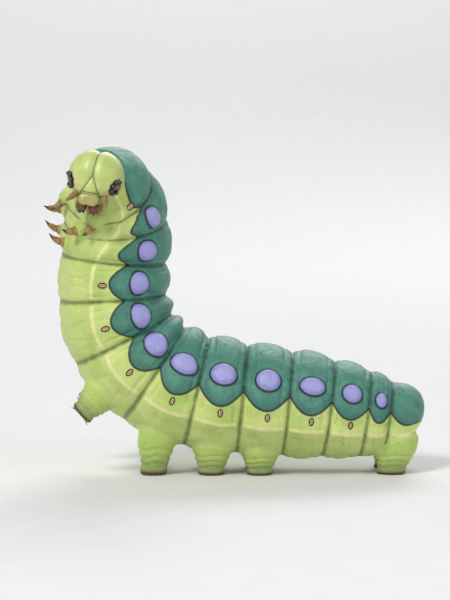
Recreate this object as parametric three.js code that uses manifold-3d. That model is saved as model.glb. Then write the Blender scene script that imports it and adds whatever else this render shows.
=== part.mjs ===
// A life-size oak silkworm: the full-grown green larva of a wild silk moth, a still model.
// It stands on three pairs of prolegs and its tail claspers, rears the front half of its body
// and turns its face to the side. Millimetres, +Z up, head end towards -X, face towards -Y.
// The origin is on the floor under the middle of the whole animal.
import * as THREE from "three";
import { mergeVertices } from "three/addons/utils/BufferGeometryUtils.js";
import Module from "manifold-3d";

const wasm = await Module();
wasm.setup();

// Where the tail tip is, and how steeply the body rises from it
const TAIL_TIP = [28.24, 2.48, 7.4];
const TAIL_PITCH = 8;

// The body's rings from tail to neck. Length and mid radius in mm, depth of the fold behind the ring,
// then the degrees that the body bends along the ring: flex towards its belly, turn towards its
// left side, and twist of its left side towards its back.
const SEGMENTS = [
  { name: "abdomen_10", length: 5.2, radius: 5.4, fold: 0, flex: 0, turn: 0, twist: 0 },
  { name: "abdomen_9", length: 3.4, radius: 6.6, fold: 0.5, flex: 0, turn: 0, twist: 0 },
  { name: "abdomen_8", length: 5.6, radius: 7.7, fold: 0.7, flex: 0, turn: 0, twist: 0 },
  { name: "abdomen_7", length: 6.3, radius: 8.5, fold: 1.0, flex: 2, turn: 0, twist: 0 },
  { name: "abdomen_6", length: 6.9, radius: 9.0, fold: 1.1, flex: 0, turn: 0, twist: 0 },
  { name: "abdomen_5", length: 7.0, radius: 9.3, fold: 1.2, flex: -7, turn: 0, twist: 0 },
  { name: "abdomen_4", length: 7.1, radius: 9.4, fold: 1.2, flex: -21, turn: 0, twist: 0 },
  { name: "abdomen_3", length: 7.1, radius: 9.3, fold: 1.2, flex: -29, turn: 0, twist: 0 },
  { name: "abdomen_2", length: 6.5, radius: 9.1, fold: 1.2, flex: -24, turn: 0, twist: 0 },
  { name: "abdomen_1", length: 6.0, radius: 8.9, fold: 1.2, flex: -9, turn: 3, twist: 3 },
  { name: "thorax_3", length: 5.8, radius: 8.7, fold: 1.1, flex: 9, turn: 15, twist: 13 },
  { name: "thorax_2", length: 5.4, radius: 8.0, fold: 0.9, flex: 22, turn: 19, twist: 17 },
  { name: "thorax_1", length: 4.7, radius: 6.4, fold: 0.7, flex: 23, turn: 15, twist: 17 },
];
const NECK_FOLD = 0.5;
const STEPS = 24; // spine steps in one ring
const SEAM = 0.3; // gap between solids that touch

// Shape of one body ring, seen along and across the body
const FOLD_SHARPNESS = 0.6; // under 1, the ring is full and its folds are narrow
const BELLY_FOLD = 0.55; // share of the fold's depth that is left on the belly
const BELLY_FLATNESS = 0.93;
const TAIL_ROUND = 0.72; // share of the last ring that the round tail end takes
const TAIL_OVERHANG = 1.6; // how far the back of the tail end leans out over its underside
const NECK_TAPER = 0.27; // share of its radius that the first ring loses at the neck
const RING_POINTS = 28;
const RING_PLACES = [0, 0.08, 0.24, 0.5, 0.76, 0.92, 1];
const TAIL_PLACES = [0, 0.04, 0.14, 0.3, 0.52, 0.78, 1];

// The oval raised pads along the upper side of the rings from abdomen_9 to thorax_2
const FIRST_PAD_RING = 1;
const LAST_PAD_RING = 11;
const PAD_ANGLE = 61; // degrees down from the middle of the back
const PAD_LENGTH = 0.3; // half length as a share of the ring's length
const PAD_HALF_HEIGHT = 1.7;
const PAD_THICKNESS = 0.95;
const PAD_RISE = 0.42;

// Head, in its own frame: x to its left, y the way it faces, z up through the crown
const HEAD = { halfWidth: 4.2, halfDepth: 3.4, halfHeight: 4.2 };
const HEAD_FORWARD = 1.25; // from the first ring's front to the head's centre
const HEAD_DROP = 0.15; // down from the spine to the head's centre
const HEAD_TILT = { flex: 13, turn: 14, twist: 16 };
const HEAD_ROWS = 14;
const HEAD_COLUMNS = 26;
const GROOVE_DEPTH = 0.34; // of the line that parts the head's two round halves
const GROOVE_HALF_WIDTH = 0.7;
const MOUTH_NARROWING = 0.36;
const MOUTH_FORWARD = 0.55;

// Mouth, in the head's frame
const LIP = { at: [0.62, 3.35, -3.0], halves: [0.95, 0.95, 0.5] };
const LIP_CLEARANCE = 0.3;
const JAW = { at: [0.98, 2.75, -4.25], halves: [0.78, 0.85, 0.95], lean: 0.25 };
const LOWER_LIP_SIDES = 10;
const LOWER_LIP_SHAPE = [
  // place, half width, half thickness
  { at: [0, 0.95, -3.3], wide: 0.9, thick: 0.6 },
  { at: [0, 1.05, -4.5], wide: 0.8, thick: 0.55 },
  { at: [0, 1.15, -4.85], wide: 0.42, thick: 0.36 },
  { at: [0, 1.35, -5.4], wide: 0.2, thick: 0.2 },
];
const PALP_SIDES = 8;
const PALP_SHAPE = [
  { at: [1.85, 0.85, -3.0], wide: 0.5, thick: 0.5 },
  { at: [1.9, 1.0, -4.3], wide: 0.46, thick: 0.46 },
  { at: [1.85, 1.15, -4.7], wide: 0.32, thick: 0.32 },
  { at: [1.75, 1.4, -5.2], wide: 0.16, thick: 0.16 },
];
const FEELER_SIDES = 8;
const FEELER_SHAPE = [
  { at: [2.1, 2.1, -2.4], wide: 0.5, thick: 0.5 },
  { at: [2.5, 3.5, -3.0], wide: 0.45, thick: 0.45 },
  { at: [2.55, 3.65, -3.07], wide: 0.32, thick: 0.32 },
  { at: [2.75, 4.3, -3.35], wide: 0.3, thick: 0.3 },
  { at: [2.95, 4.9, -3.55], wide: 0.1, thick: 0.1 },
];

// Eyes: an arc of six small lenses low on each side of the head. Degrees round from straight ahead,
// and degrees below the head's widest level.
const EYE_ARC = [
  { round: 61, below: -2 },
  { round: 52, below: 0 },
  { round: 47, below: 8 },
  { round: 49, below: 17 },
  { round: 57, below: 22 },
  { round: 66, below: 19 },
];
const LENS_RADIUS = 0.42;
const LENS_RISE = 0.22;

// Prolegs: fleshy stumps with a flat sole. Share of the way down, half length and half width.
const PROLEG_SIDES = 16;
const PROLEG_SHAPE = [
  { way: 0, long: 3.1, wide: 2.7 },
  { way: 0.4, long: 2.95, wide: 2.5 },
  { way: 0.68, long: 2.4, wide: 2.0 },
  { way: 0.86, long: 1.95, wide: 1.6 },
  { way: 0.95, long: 2.05, wide: 1.7 },
  { way: 1, long: 1.8, wide: 1.45 },
];
const PROLEG_SPREAD = 3.5; // from the middle of the body to the middle of the sole
const PROLEG_ROOT_ANGLE = 146; // degrees down from the middle of the back
const PROLEG_ROOT_DEPTH = 0.72; // share of the body's radius at which the root starts
const STANDING_PROLEGS = [
  { ring: 6, sole: -12.28 },
  { ring: 5, sole: -3.58 },
  { ring: 4, sole: 3.72 },
];
const LIFTED_RING = 7;
const LIFTED = { reach: 4.1, spread: 0.12, back: 0.6, scale: 0.94 };

// Tail claspers: broad flaps under the last ring, with flat soles
const CLASPER_SHAPE = [
  { way: 0, long: 3.3, wide: 2.2 },
  { way: 0.4, long: 3.2, wide: 2.15 },
  { way: 0.7, long: 2.6, wide: 1.8 },
  { way: 0.88, long: 2.15, wide: 1.5 },
  { way: 0.96, long: 2.25, wide: 1.6 },
  { way: 1, long: 2.0, wide: 1.4 },
];
const CLASPER_ROOT = { share: 0.66, out: 3.0, down: 1.8 };
const CLASPER_SOLE = { x: 23.52, spread: 2.9 };
const CLASPER_GAP = 0.45; // between a clasper's root and the tail end over it

// Jointed legs of the thorax: three links that narrow to a hooked claw
const LEG_SIDES = 10;
const LEG_SHAPE = [
  // share of the length, half thickness, bend towards the head as a share of the length
  { way: 0, half: 1.15, bend: 0 },
  { way: 0.26, half: 1.05, bend: 0 },
  { way: 0.31, half: 0.86, bend: 0.01 },
  { way: 0.4, half: 0.88, bend: 0.02 },
  { way: 0.55, half: 0.74, bend: 0.05 },
  { way: 0.6, half: 0.58, bend: 0.07 },
  { way: 0.68, half: 0.58, bend: 0.09 },
  { way: 0.82, half: 0.42, bend: 0.14 },
  { way: 0.9, half: 0.28, bend: 0.2 },
  { way: 1, half: 0.06, bend: 0.3 },
];
const LEGS = [
  { ring: 12, share: 0.36, angle: 144, length: 4.0, lean: -0.3, outwards: 0.17 },
  { ring: 11, share: 0.5, angle: 148, length: 4.3, lean: 0.05, outwards: 0.07 },
  { ring: 10, share: 0.5, angle: 149, length: 4.7, lean: 0.1, outwards: 0.12 },
];
const LEG_ROOT_DEPTH = 0.82; // share of the body's radius at which a leg's root starts
const LEG_GAP = 0.55; // between a leg's root and the folds round it

const LEFT_AND_RIGHT = [
  { side: "left", sign: 1 },
  { side: "right", sign: -1 },
];

const MATERIALS = {
  skin: new THREE.MeshStandardMaterial({ color: 0xbfce7d, roughness: 0.45, metalness: 0 }),
  foot: new THREE.MeshStandardMaterial({ color: 0x7e8f52, roughness: 0.5, metalness: 0 }),
  horn: new THREE.MeshStandardMaterial({ color: 0x3a2418, roughness: 0.3, metalness: 0 }),
  eye: new THREE.MeshStandardMaterial({ color: 0x0d0b0c, roughness: 0.1, metalness: 0 }),
};

const { clamp, degToRad, lerp, smoothstep } = THREE.MathUtils;
const vector = (x, y, z) => new THREE.Vector3(x, y, z);
const X_AXIS = vector(1, 0, 0);
const Y_AXIS = vector(0, 1, 0);

// Sum of a start and directions with their lengths
function walk(start, ...moves) {
  const place = start.clone();
  for (const [direction, length] of moves) place.addScaledVector(direction, length);
  return place;
}

// manifold-3d solid from a closed geometry, turned inside out if its faces point inwards
function solidFrom(geometry) {
  geometry.deleteAttribute("normal");
  geometry.deleteAttribute("uv");
  const merged = mergeVertices(geometry, 1e-4);
  const vertProperties = new Float32Array(merged.attributes.position.array);
  const triVerts = new Uint32Array(merged.index.array);
  const solid = new wasm.Manifold(new wasm.Mesh({ numProp: 3, vertProperties, triVerts }));
  if (solid.volume() > 0) return solid;
  for (let i = 0; i < triVerts.length; i += 3)
    [triVerts[i + 1], triVerts[i + 2]] = [triVerts[i + 2], triVerts[i + 1]];
  return new wasm.Manifold(new wasm.Mesh({ numProp: 3, vertProperties, triVerts }));
}

// Closed solid through rings of equally many points, each end closed by a fan to its middle
function solidThrough(rings) {
  const count = rings[0].length;
  const middle = (ring) =>
    ring.reduce((sum, p) => sum.add(p), vector(0, 0, 0)).divideScalar(count);
  const points = [...rings.flat(), middle(rings[0]), middle(rings.at(-1))];
  const first = points.length - 2;
  const last = points.length - 1;
  const top = (rings.length - 1) * count;
  const faces = [];
  for (let i = 0; i < count; i++) {
    const next = (i + 1) % count;
    for (let row = 0; row < top; row += count) {
      faces.push(row + i, row + next, row + next + count);
      faces.push(row + i, row + next + count, row + i + count);
    }
    faces.push(next, i, first, top + i, top + next, last);
  }
  const geometry = new THREE.BufferGeometry().setFromPoints(points);
  geometry.setIndex(faces);
  return solidFrom(geometry);
}

// Ellipsoid with half axes along three directions
function ellipsoid(centre, directions, halves, columns = 12, rows = 6) {
  const axes = directions.map((direction, i) => direction.clone().multiplyScalar(halves[i]));
  const placed = new THREE.Matrix4().makeBasis(axes[0], axes[2], axes[1]).setPosition(centre);
  return solidFrom(new THREE.SphereGeometry(1, columns, rows).applyMatrix4(placed));
}

// Tapered limb through stops, each a place with two directions and two half widths
function limbSolid(stops, sides) {
  const rings = stops.map(({ at, first, second, halfFirst, halfSecond }) =>
    Array.from({ length: sides }, (_, n) => {
      const around = (2 * Math.PI * (n + 0.5)) / sides;
      return walk(at, [first, halfFirst * Math.cos(around)], [second, halfSecond * Math.sin(around)]);
    }),
  );
  return solidThrough(rings);
}

// Largest closed surface of a solid as a named mesh, without scraps
function meshOf(name, solid, material) {
  const pieces = solid.decompose();
  const whole = pieces.reduce((best, piece) => (piece.volume() > best.volume() ? piece : best));
  const { numVert, numProp, vertProperties, triVerts } = whole.getMesh();
  const positions = new Float32Array(numVert * 3);
  for (let i = 0; i < numVert; i++)
    positions.set(vertProperties.subarray(i * numProp, i * numProp + 3), i * 3);
  const geometry = new THREE.BufferGeometry();
  geometry.setAttribute("position", new THREE.BufferAttribute(positions, 3));
  geometry.setIndex(new THREE.BufferAttribute(new Uint32Array(triVerts), 1));
  geometry.computeVertexNormals();
  const mesh = new THREE.Mesh(geometry, material);
  mesh.name = name;
  return mesh;
}

// A frame on the body: place p, t towards the head, l to the body's left, d out of its back
const copyFrame = ({ p, t, l, d }) => ({ p: p.clone(), t: t.clone(), l: l.clone(), d: d.clone() });

function bendFrame(frame, flex, turn, twist) {
  const axis = walk(vector(0, 0, 0), [frame.t, twist], [frame.l, flex], [frame.d, turn]);
  const angle = axis.length();
  if (angle === 0) return;
  axis.divideScalar(angle);
  const bend = new THREE.Quaternion().setFromAxisAngle(axis, degToRad(angle));
  for (const direction of [frame.t, frame.l, frame.d]) direction.applyQuaternion(bend);
}

function makeSpine() {
  const frame = {
    p: vector(...TAIL_TIP),
    t: vector(-1, 0, 0),
    l: vector(0, -1, 0),
    d: vector(0, 0, 1),
  };
  bendFrame(frame, -TAIL_PITCH, 0, 0);
  const frames = [copyFrame(frame)];
  for (const { length, flex, turn, twist } of SEGMENTS)
    for (let i = 0; i < STEPS; i++) {
      bendFrame(frame, flex / STEPS, turn / STEPS, twist / STEPS);
      frame.p.addScaledVector(frame.t, length / STEPS);
      frames.push(copyFrame(frame));
    }
  return frames;
}
const spine = makeSpine();

// Frame at a station of the spine: station 0 is the tail tip and each ring adds 1
function frameAt(station) {
  const step = clamp(station, 0, SEGMENTS.length) * STEPS;
  const low = Math.min(Math.floor(step), spine.length - 2);
  const mix = (key) => spine[low][key].clone().lerp(spine[low + 1][key], step - low);
  return { p: mix("p"), t: mix("t").normalize(), l: mix("l").normalize(), d: mix("d").normalize() };
}

// Smooth curve through the rings' mid radii
function girthAt(station) {
  const radius = (k) => SEGMENTS[clamp(k, 0, SEGMENTS.length - 1)].radius;
  const k = Math.floor(station - 0.5);
  const x = station - 0.5 - k;
  const [a, b, c, d] = [radius(k - 1), radius(k), radius(k + 1), radius(k + 2)];
  return b + 0.5 * x * (c - a + x * (2 * a - 5 * b + 4 * c - d + x * (3 * (b - c) + d - a)));
}

// Distance of the skin from the spine, at an angle down from the middle of the back
function skinRadius(ring, share, angle) {
  const foldAhead = ring + 1 < SEGMENTS.length ? SEGMENTS[ring + 1].fold : NECK_FOLD;
  const depth = lerp(SEGMENTS[ring].fold, foldAhead, share);
  const foldShare = lerp(BELLY_FOLD, 1, smoothstep(Math.cos(angle), -0.8, 0.1));
  const fullness = Math.pow(Math.sin(Math.PI * share), FOLD_SHARPNESS);
  let radius = girthAt(ring + share) - depth * foldShare * (1 - fullness);
  if (ring === 0 && share < TAIL_ROUND)
    radius *= Math.sqrt(1 - Math.pow(1 - share / TAIL_ROUND, 2));
  if (ring === SEGMENTS.length - 1) radius *= 1 - NECK_TAPER * smoothstep(share, 0.3, 1);
  return radius;
}

// Point of the skin, moved out by grow
function skinPoint(frame, ring, share, angle, grow = 0) {
  const radius = skinRadius(ring, share, angle) + grow;
  const up = Math.cos(angle);
  const overhang = ring === 0 ? (TAIL_OVERHANG * up * (1 - share) * radius) / SEGMENTS[0].radius : 0;
  return walk(
    frame.p,
    [frame.l, radius * Math.sin(angle)],
    [frame.d, radius * up * (up < 0 ? BELLY_FLATNESS : 1)],
    [frame.t, -overhang],
  );
}

// One body ring as a solid, grown outwards, and with each end moved back by inset
function ringSolid(ring, grow = 0, inset = SEAM / 2) {
  const places = ring === 0 ? TAIL_PLACES : RING_PLACES;
  const tip = ring === 0 ? -grow : inset;
  const rings = places.map((share) => {
    const frame = frameAt(ring + share);
    frame.p.addScaledVector(frame.t, lerp(tip, -inset, share));
    return Array.from({ length: RING_POINTS }, (_, n) =>
      skinPoint(frame, ring, share, (2 * Math.PI * n) / RING_POINTS, grow),
    );
  });
  return solidThrough(rings);
}

// The rings round a limb's root, grown by a gap, to cut the limb clear of the body
function bodyCutter(ring, gap = SEAM) {
  const rings = [ring - 1, ring, ring + 1].filter((k) => k >= 0 && k < SEGMENTS.length);
  return wasm.Manifold.union(rings.map((k) => ringSolid(k, gap, -gap)));
}

// Raised oval pad on one side of a ring
function padSolid(ring, sign) {
  const { length, radius } = SEGMENTS[ring];
  const frame = frameAt(ring + 0.5);
  const angle = sign * degToRad(PAD_ANGLE);
  const out = walk(vector(0, 0, 0), [frame.l, Math.sin(angle)], [frame.d, Math.cos(angle)]);
  const around = frame.t.clone().cross(out);
  const centre = skinPoint(frame, ring, 0.5, angle, PAD_RISE - PAD_THICKNESS);
  const halfHeight = (PAD_HALF_HEIGHT * radius) / SEGMENTS[4].radius;
  const halves = [length * PAD_LENGTH, halfHeight, PAD_THICKNESS];
  return ellipsoid(centre, [frame.t, around, out], halves);
}

// The head's frame, tilted on from the front of the first ring
function makeHeadFrame() {
  const frame = frameAt(SEGMENTS.length);
  bendFrame(frame, HEAD_TILT.flex, HEAD_TILT.turn, HEAD_TILT.twist);
  frame.p = walk(frame.p, [frame.t, HEAD_FORWARD], [frame.d, -HEAD_DROP]);
  return frame;
}
const head = makeHeadFrame();
const headPlace = (x, y, z) => walk(head.p, [head.l, x], [head.t, y], [head.d, z]);
const headDirection = (x, y, z) => headPlace(x, y, z).sub(head.p).normalize();

// Point of the head's surface, moved out by grow
function headPoint(around, polar, grow) {
  const x = Math.sin(polar) * Math.cos(around);
  const y = Math.sin(polar) * Math.sin(around);
  const z = Math.cos(polar);
  const low = Math.max(0, -z);
  const fromMiddle = (x * HEAD.halfWidth) / GROOVE_HALF_WIDTH;
  const groove = GROOVE_DEPTH * Math.exp(-fromMiddle * fromMiddle) * smoothstep(z + 0.3 * y, -0.35, 0.35);
  const size = 1 - groove / HEAD.halfHeight;
  const narrow = 1 - MOUTH_NARROWING * Math.pow(low, 1.4);
  return headPlace(
    x * (HEAD.halfWidth * narrow * size + grow),
    y * (HEAD.halfDepth * size + grow) + MOUTH_FORWARD * low * Math.max(0, y + 0.4),
    z * (HEAD.halfHeight * size + grow),
  );
}

function headSolid(grow = 0) {
  const rings = [];
  for (let row = 1; row < HEAD_ROWS; row++) {
    const polar = (Math.PI * row) / HEAD_ROWS;
    const point = (_, n) => headPoint((2 * Math.PI * n) / HEAD_COLUMNS, polar, grow);
    rings.push(Array.from({ length: HEAD_COLUMNS }, point));
  }
  return solidThrough(rings);
}
const headCutter = headSolid(SEAM);

const animal = new THREE.Group();

// Body rings with their pads; the first ring is hollowed to take the back of the head
function addBody() {
  SEGMENTS.forEach(({ name }, ring) => {
    let solid = ringSolid(ring);
    if (ring >= FIRST_PAD_RING && ring <= LAST_PAD_RING)
      for (const { sign } of LEFT_AND_RIGHT) solid = solid.add(padSolid(ring, sign));
    if (ring === SEGMENTS.length - 1) solid = solid.subtract(headCutter);
    animal.add(meshOf(name, solid, MATERIALS.skin));
  });
}

// Stops of a fleshy limb that runs from its root to the middle of its sole
function fleshyStops(shape, root, sole, first, second, scale = 1) {
  return shape.map(({ way, long, wide }) => ({
    at: root.clone().lerp(sole, way),
    first,
    second,
    halfFirst: long * scale,
    halfSecond: wide * scale,
  }));
}

// Place inside the body where a limb starts
function limbRoot(ring, share, sign, angle, depth) {
  const frame = frameAt(ring + share);
  const skin = skinPoint(frame, ring, share, sign * degToRad(angle));
  return { frame, skin, root: frame.p.clone().lerp(skin, depth) };
}

// Prolegs of abdomen_4 to abdomen_6, from the belly straight down to the floor
function addStandingProlegs() {
  for (const { ring, sole } of STANDING_PROLEGS)
    for (const { side, sign } of LEFT_AND_RIGHT) {
      const { root } = limbRoot(ring, 0.5, sign, PROLEG_ROOT_ANGLE, PROLEG_ROOT_DEPTH);
      const foot = vector(sole, TAIL_TIP[1] - sign * PROLEG_SPREAD, 0);
      const stops = fleshyStops(PROLEG_SHAPE, root, foot, X_AXIS, Y_AXIS);
      const solid = limbSolid(stops, PROLEG_SIDES).subtract(bodyCutter(ring));
      animal.add(meshOf(`proleg_${side}_${10 - ring}`, solid, MATERIALS.foot));
    }
}

// Prolegs of abdomen_3, lifted off the floor and pointing out of the belly
function addLiftedProlegs() {
  for (const { side, sign } of LEFT_AND_RIGHT) {
    const start = limbRoot(LIFTED_RING, 0.5, sign, PROLEG_ROOT_ANGLE, PROLEG_ROOT_DEPTH);
    const { t, l, d } = start.frame;
    const down = walk(vector(0, 0, 0), [d, -1], [l, LIFTED.spread * sign]).normalize();
    const foot = walk(start.skin, [down, LIFTED.reach], [t, -LIFTED.back]);
    const stops = fleshyStops(PROLEG_SHAPE, start.root, foot, t, l, LIFTED.scale);
    const solid = limbSolid(stops, PROLEG_SIDES).subtract(bodyCutter(LIFTED_RING));
    animal.add(meshOf(`proleg_${side}_${10 - LIFTED_RING}`, solid, MATERIALS.foot));
  }
}

function addClaspers() {
  for (const { side, sign } of LEFT_AND_RIGHT) {
    const { p, l, d } = frameAt(CLASPER_ROOT.share);
    const root = walk(p, [l, sign * CLASPER_ROOT.out], [d, -CLASPER_ROOT.down]);
    const foot = vector(CLASPER_SOLE.x, TAIL_TIP[1] - sign * CLASPER_SOLE.spread, 0);
    const stops = fleshyStops(CLASPER_SHAPE, root, foot, X_AXIS, Y_AXIS);
    const solid = limbSolid(stops, PROLEG_SIDES).subtract(bodyCutter(0, CLASPER_GAP));
    animal.add(meshOf(`clasper_${side}`, solid, MATERIALS.foot));
  }
}

function addLegs() {
  for (const { ring, share, angle, length, lean, outwards } of LEGS)
    for (const { side, sign } of LEFT_AND_RIGHT) {
      const { frame, root } = limbRoot(ring, share, sign, angle, LEG_ROOT_DEPTH);
      const { t, l, d } = frame;
      const down = walk(vector(0, 0, 0), [d, -1], [t, lean], [l, outwards * sign]).normalize();
      const ahead = l.clone().cross(down).normalize();
      const stops = LEG_SHAPE.map(({ way, half, bend }) => ({
        at: walk(root, [down, way * length], [ahead, -bend * length]),
        first: ahead,
        second: l,
        halfFirst: half,
        halfSecond: half,
      }));
      const solid = limbSolid(stops, LEG_SIDES).subtract(bodyCutter(ring, LEG_GAP));
      animal.add(meshOf(`leg_${side}_${13 - ring}`, solid, MATERIALS.horn));
    }
}

// Upper lip of two round lobes, grown by grow
function lipSolid(grow = 0) {
  const [x, y, z] = LIP.at;
  const axes = [headDirection(1, 0, 0), headDirection(0, 0.35, -1), headDirection(0, 1, 0.35)];
  const halves = LIP.halves.map((half) => half + grow);
  const lobe = (sign) => ellipsoid(headPlace(sign * x, y, z), axes, halves, 10, 6);
  return lobe(1).add(lobe(-1));
}

// Tapered solid through stops given in the head's frame
function headLimb(shape, sides, sign, across, through) {
  const stops = shape.map(({ at: [x, y, z], wide, thick }) => ({
    at: headPlace(sign * x, y, z),
    first: across,
    second: through,
    halfFirst: wide,
    halfSecond: thick,
  }));
  return limbSolid(stops, sides).subtract(headCutter);
}

function addMouth() {
  const lipCutter = lipSolid(LIP_CLEARANCE);
  animal.add(meshOf("upper_lip", lipSolid().subtract(headCutter), MATERIALS.skin));
  const across = headDirection(1, 0, 0);
  const through = headDirection(0, 1, 0.3);
  const lowerLip = headLimb(LOWER_LIP_SHAPE, LOWER_LIP_SIDES, 1, across, through);
  animal.add(meshOf("lower_lip", lowerLip, MATERIALS.skin));
  for (const { side, sign } of LEFT_AND_RIGHT) {
    const [x, y, z] = JAW.at;
    const lean = JAW.lean * sign;
    const axes = [headDirection(1, 0, -lean), headDirection(0, 1, 0), headDirection(lean, 0, 1)];
    const jaw = ellipsoid(headPlace(sign * x, y, z), axes, JAW.halves, 10, 6);
    const clear = jaw.subtract(headCutter).subtract(lipCutter);
    animal.add(meshOf(`jaw_${side}`, clear, MATERIALS.horn));
    const palp = headLimb(PALP_SHAPE, PALP_SIDES, sign, across, through);
    animal.add(meshOf(`palp_${side}`, palp, MATERIALS.skin));
  }
}

function addFeelers() {
  for (const { side, sign } of LEFT_AND_RIGHT) {
    const across = headDirection(1, -0.3 * sign, 0);
    const through = headDirection(0, 0.3, 1);
    const feeler = headLimb(FEELER_SHAPE, FEELER_SIDES, sign, across, through);
    animal.add(meshOf(`feeler_${side}`, feeler, MATERIALS.horn));
  }
}

function addEyes() {
  for (const { side, sign } of LEFT_AND_RIGHT) {
    const lenses = EYE_ARC.map(({ round, below }) => {
      const place = headPoint(degToRad(90 - sign * round), degToRad(90 + below), LENS_RISE);
      const out = place.clone().sub(head.p).normalize();
      const first = out.clone().cross(head.d).normalize();
      const second = out.clone().cross(first);
      return ellipsoid(place, [first, second, out], Array(3).fill(LENS_RADIUS), 7, 5);
    });
    const eye = wasm.Manifold.union(lenses).subtract(headCutter);
    animal.add(meshOf(`eye_${side}`, eye, MATERIALS.eye));
  }
}

animal.add(meshOf("head", headSolid(), MATERIALS.skin));
addBody();
addStandingProlegs();
addLiftedProlegs();
addClaspers();
addLegs();
addMouth();
addFeelers();
addEyes();

export default animal;
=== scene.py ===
# A full-grown oak silkworm as a life-size museum model: one soft ringed skin over its solids,
# a hard head with its eyes and mouth, jointed legs, hooked feet and sparse pale hairs.
# Lengths are in millimetres until a mesh is made. The frame is that of the solids:
# +X towards the tail, -Y the side that the face looks to, and +Z up.
import math
from collections import namedtuple

import bpy
import numpy as np
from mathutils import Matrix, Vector, noise
from mathutils.bvhtree import BVHTree


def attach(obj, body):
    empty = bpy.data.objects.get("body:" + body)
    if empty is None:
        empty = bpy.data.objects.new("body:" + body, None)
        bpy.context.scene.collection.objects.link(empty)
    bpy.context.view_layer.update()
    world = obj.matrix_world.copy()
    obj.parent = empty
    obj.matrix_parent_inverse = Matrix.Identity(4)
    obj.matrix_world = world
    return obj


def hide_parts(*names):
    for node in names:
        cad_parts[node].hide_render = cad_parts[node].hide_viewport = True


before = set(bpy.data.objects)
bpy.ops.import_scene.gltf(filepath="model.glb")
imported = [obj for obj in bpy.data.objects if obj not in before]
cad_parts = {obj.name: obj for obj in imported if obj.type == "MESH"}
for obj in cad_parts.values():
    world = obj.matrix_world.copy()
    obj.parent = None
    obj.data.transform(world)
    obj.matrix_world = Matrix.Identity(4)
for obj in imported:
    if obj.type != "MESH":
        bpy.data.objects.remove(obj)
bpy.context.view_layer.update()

MM = 0.001
# A distance that counts as nowhere near
FAR = 9.0
SIDES = [("left", 1), ("right", -1)]
random = np.random.default_rng(11)

# Where the tail tip is, and how steeply the body rises from it, as in the solids
TAIL_TIP = (28.24, 2.48, 7.4)
TAIL_PITCH = 8

# Rings from tail to neck: node, length, mid radius, depth of the fold behind it, then the degrees
# that the body bends along it: flex to its belly, turn to its left, twist of its left to its back
RINGS = [
    ("abdomen_10", 5.2, 5.4, 0.0, 0, 0, 0),
    ("abdomen_9", 3.4, 6.6, 0.5, 0, 0, 0),
    ("abdomen_8", 5.6, 7.7, 0.7, 0, 0, 0),
    ("abdomen_7", 6.3, 8.5, 1.0, 2, 0, 0),
    ("abdomen_6", 6.9, 9.0, 1.1, 0, 0, 0),
    ("abdomen_5", 7.0, 9.3, 1.2, -7, 0, 0),
    ("abdomen_4", 7.1, 9.4, 1.2, -21, 0, 0),
    ("abdomen_3", 7.1, 9.3, 1.2, -29, 0, 0),
    ("abdomen_2", 6.5, 9.1, 1.2, -24, 0, 0),
    ("abdomen_1", 6.0, 8.9, 1.2, -9, 3, 3),
    ("thorax_3", 5.8, 8.7, 1.1, 9, 15, 13),
    ("thorax_2", 5.4, 8.0, 0.9, 22, 19, 17),
    ("thorax_1", 4.7, 6.4, 0.7, 23, 15, 17),
]
NAMES = [ring[0] for ring in RINGS]
LENGTHS = np.array([ring[1] for ring in RINGS])
RADII = np.array([ring[2] for ring in RINGS])
FOLDS = np.array([ring[3] for ring in RINGS] + [0.5])
LAST = len(RINGS) - 1
# Length of a middling ring, which textures along the body are scaled by, and steps of the spine
# in each ring
MEAN_RING = 6.4
STEPS = 24
FOLD_SHARPNESS = 0.6
BELLY_FOLD = 0.55
BELLY_FLATNESS = 0.93
TAIL_ROUND = 0.72
TAIL_OVERHANG = 1.6
NECK_TAPER = 0.27

# Fineness of the skin
ROWS_IN_RING = 28
COLUMNS = 208
SKIN_VOXEL = 0.17
LIMB_ROWS = 36
LIMB_COLUMNS = 56

# Places down from the middle of the back, in degrees
PAD_ANGLE = 61
SADDLE_EDGE_AT_FOLD = 73
SADDLE_EDGE_IN_RING = 91
SPIRACLE_ANGLE = 98
LINE_ANGLE = 109

# Breathing pores of eight abdomen rings and the first thorax ring: station and degrees down
SPIRACLES = [(ring + 0.44, SPIRACLE_ANGLE) for ring in range(2, 10)] + [(12.42, 94)]
SPIRACLE_HALVES = (0.34, 0.62)

# Raised oval pads
PAD_RINGS = range(1, 12)
PAD_LENGTH = 0.29
PAD_HALF_HEIGHT = 1.7
PAD_RISE = 0.42

# Swellings and hollows that run along the body: degrees down, half width in degrees, height, and
# the share of it that is left at the folds
LENGTHWISE = [
    (LINE_ANGLE, 8, 0.36, 0.25),
    (LINE_ANGLE + 15, 6.5, -0.24, 0),
    (SPIRACLE_ANGLE - 2, 6, -0.16, 0),
    (0, 5, -0.12, 0),
    (180, 6, -0.2, 0),
]

# Creases across the flank and belly of a ring: depth, share of the ring, sway, half width as a
# share, degrees down, half height in degrees
CREASES = [
    (0.14, 0.35, 2, 0.03, 130, 22),
    (0.16, 0.62, -2, 0.03, 128, 26),
    (0.2, 0.27, -1, 0.035, 172, 26),
    (0.22, 0.73, 1, 0.035, 168, 24),
]

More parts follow.
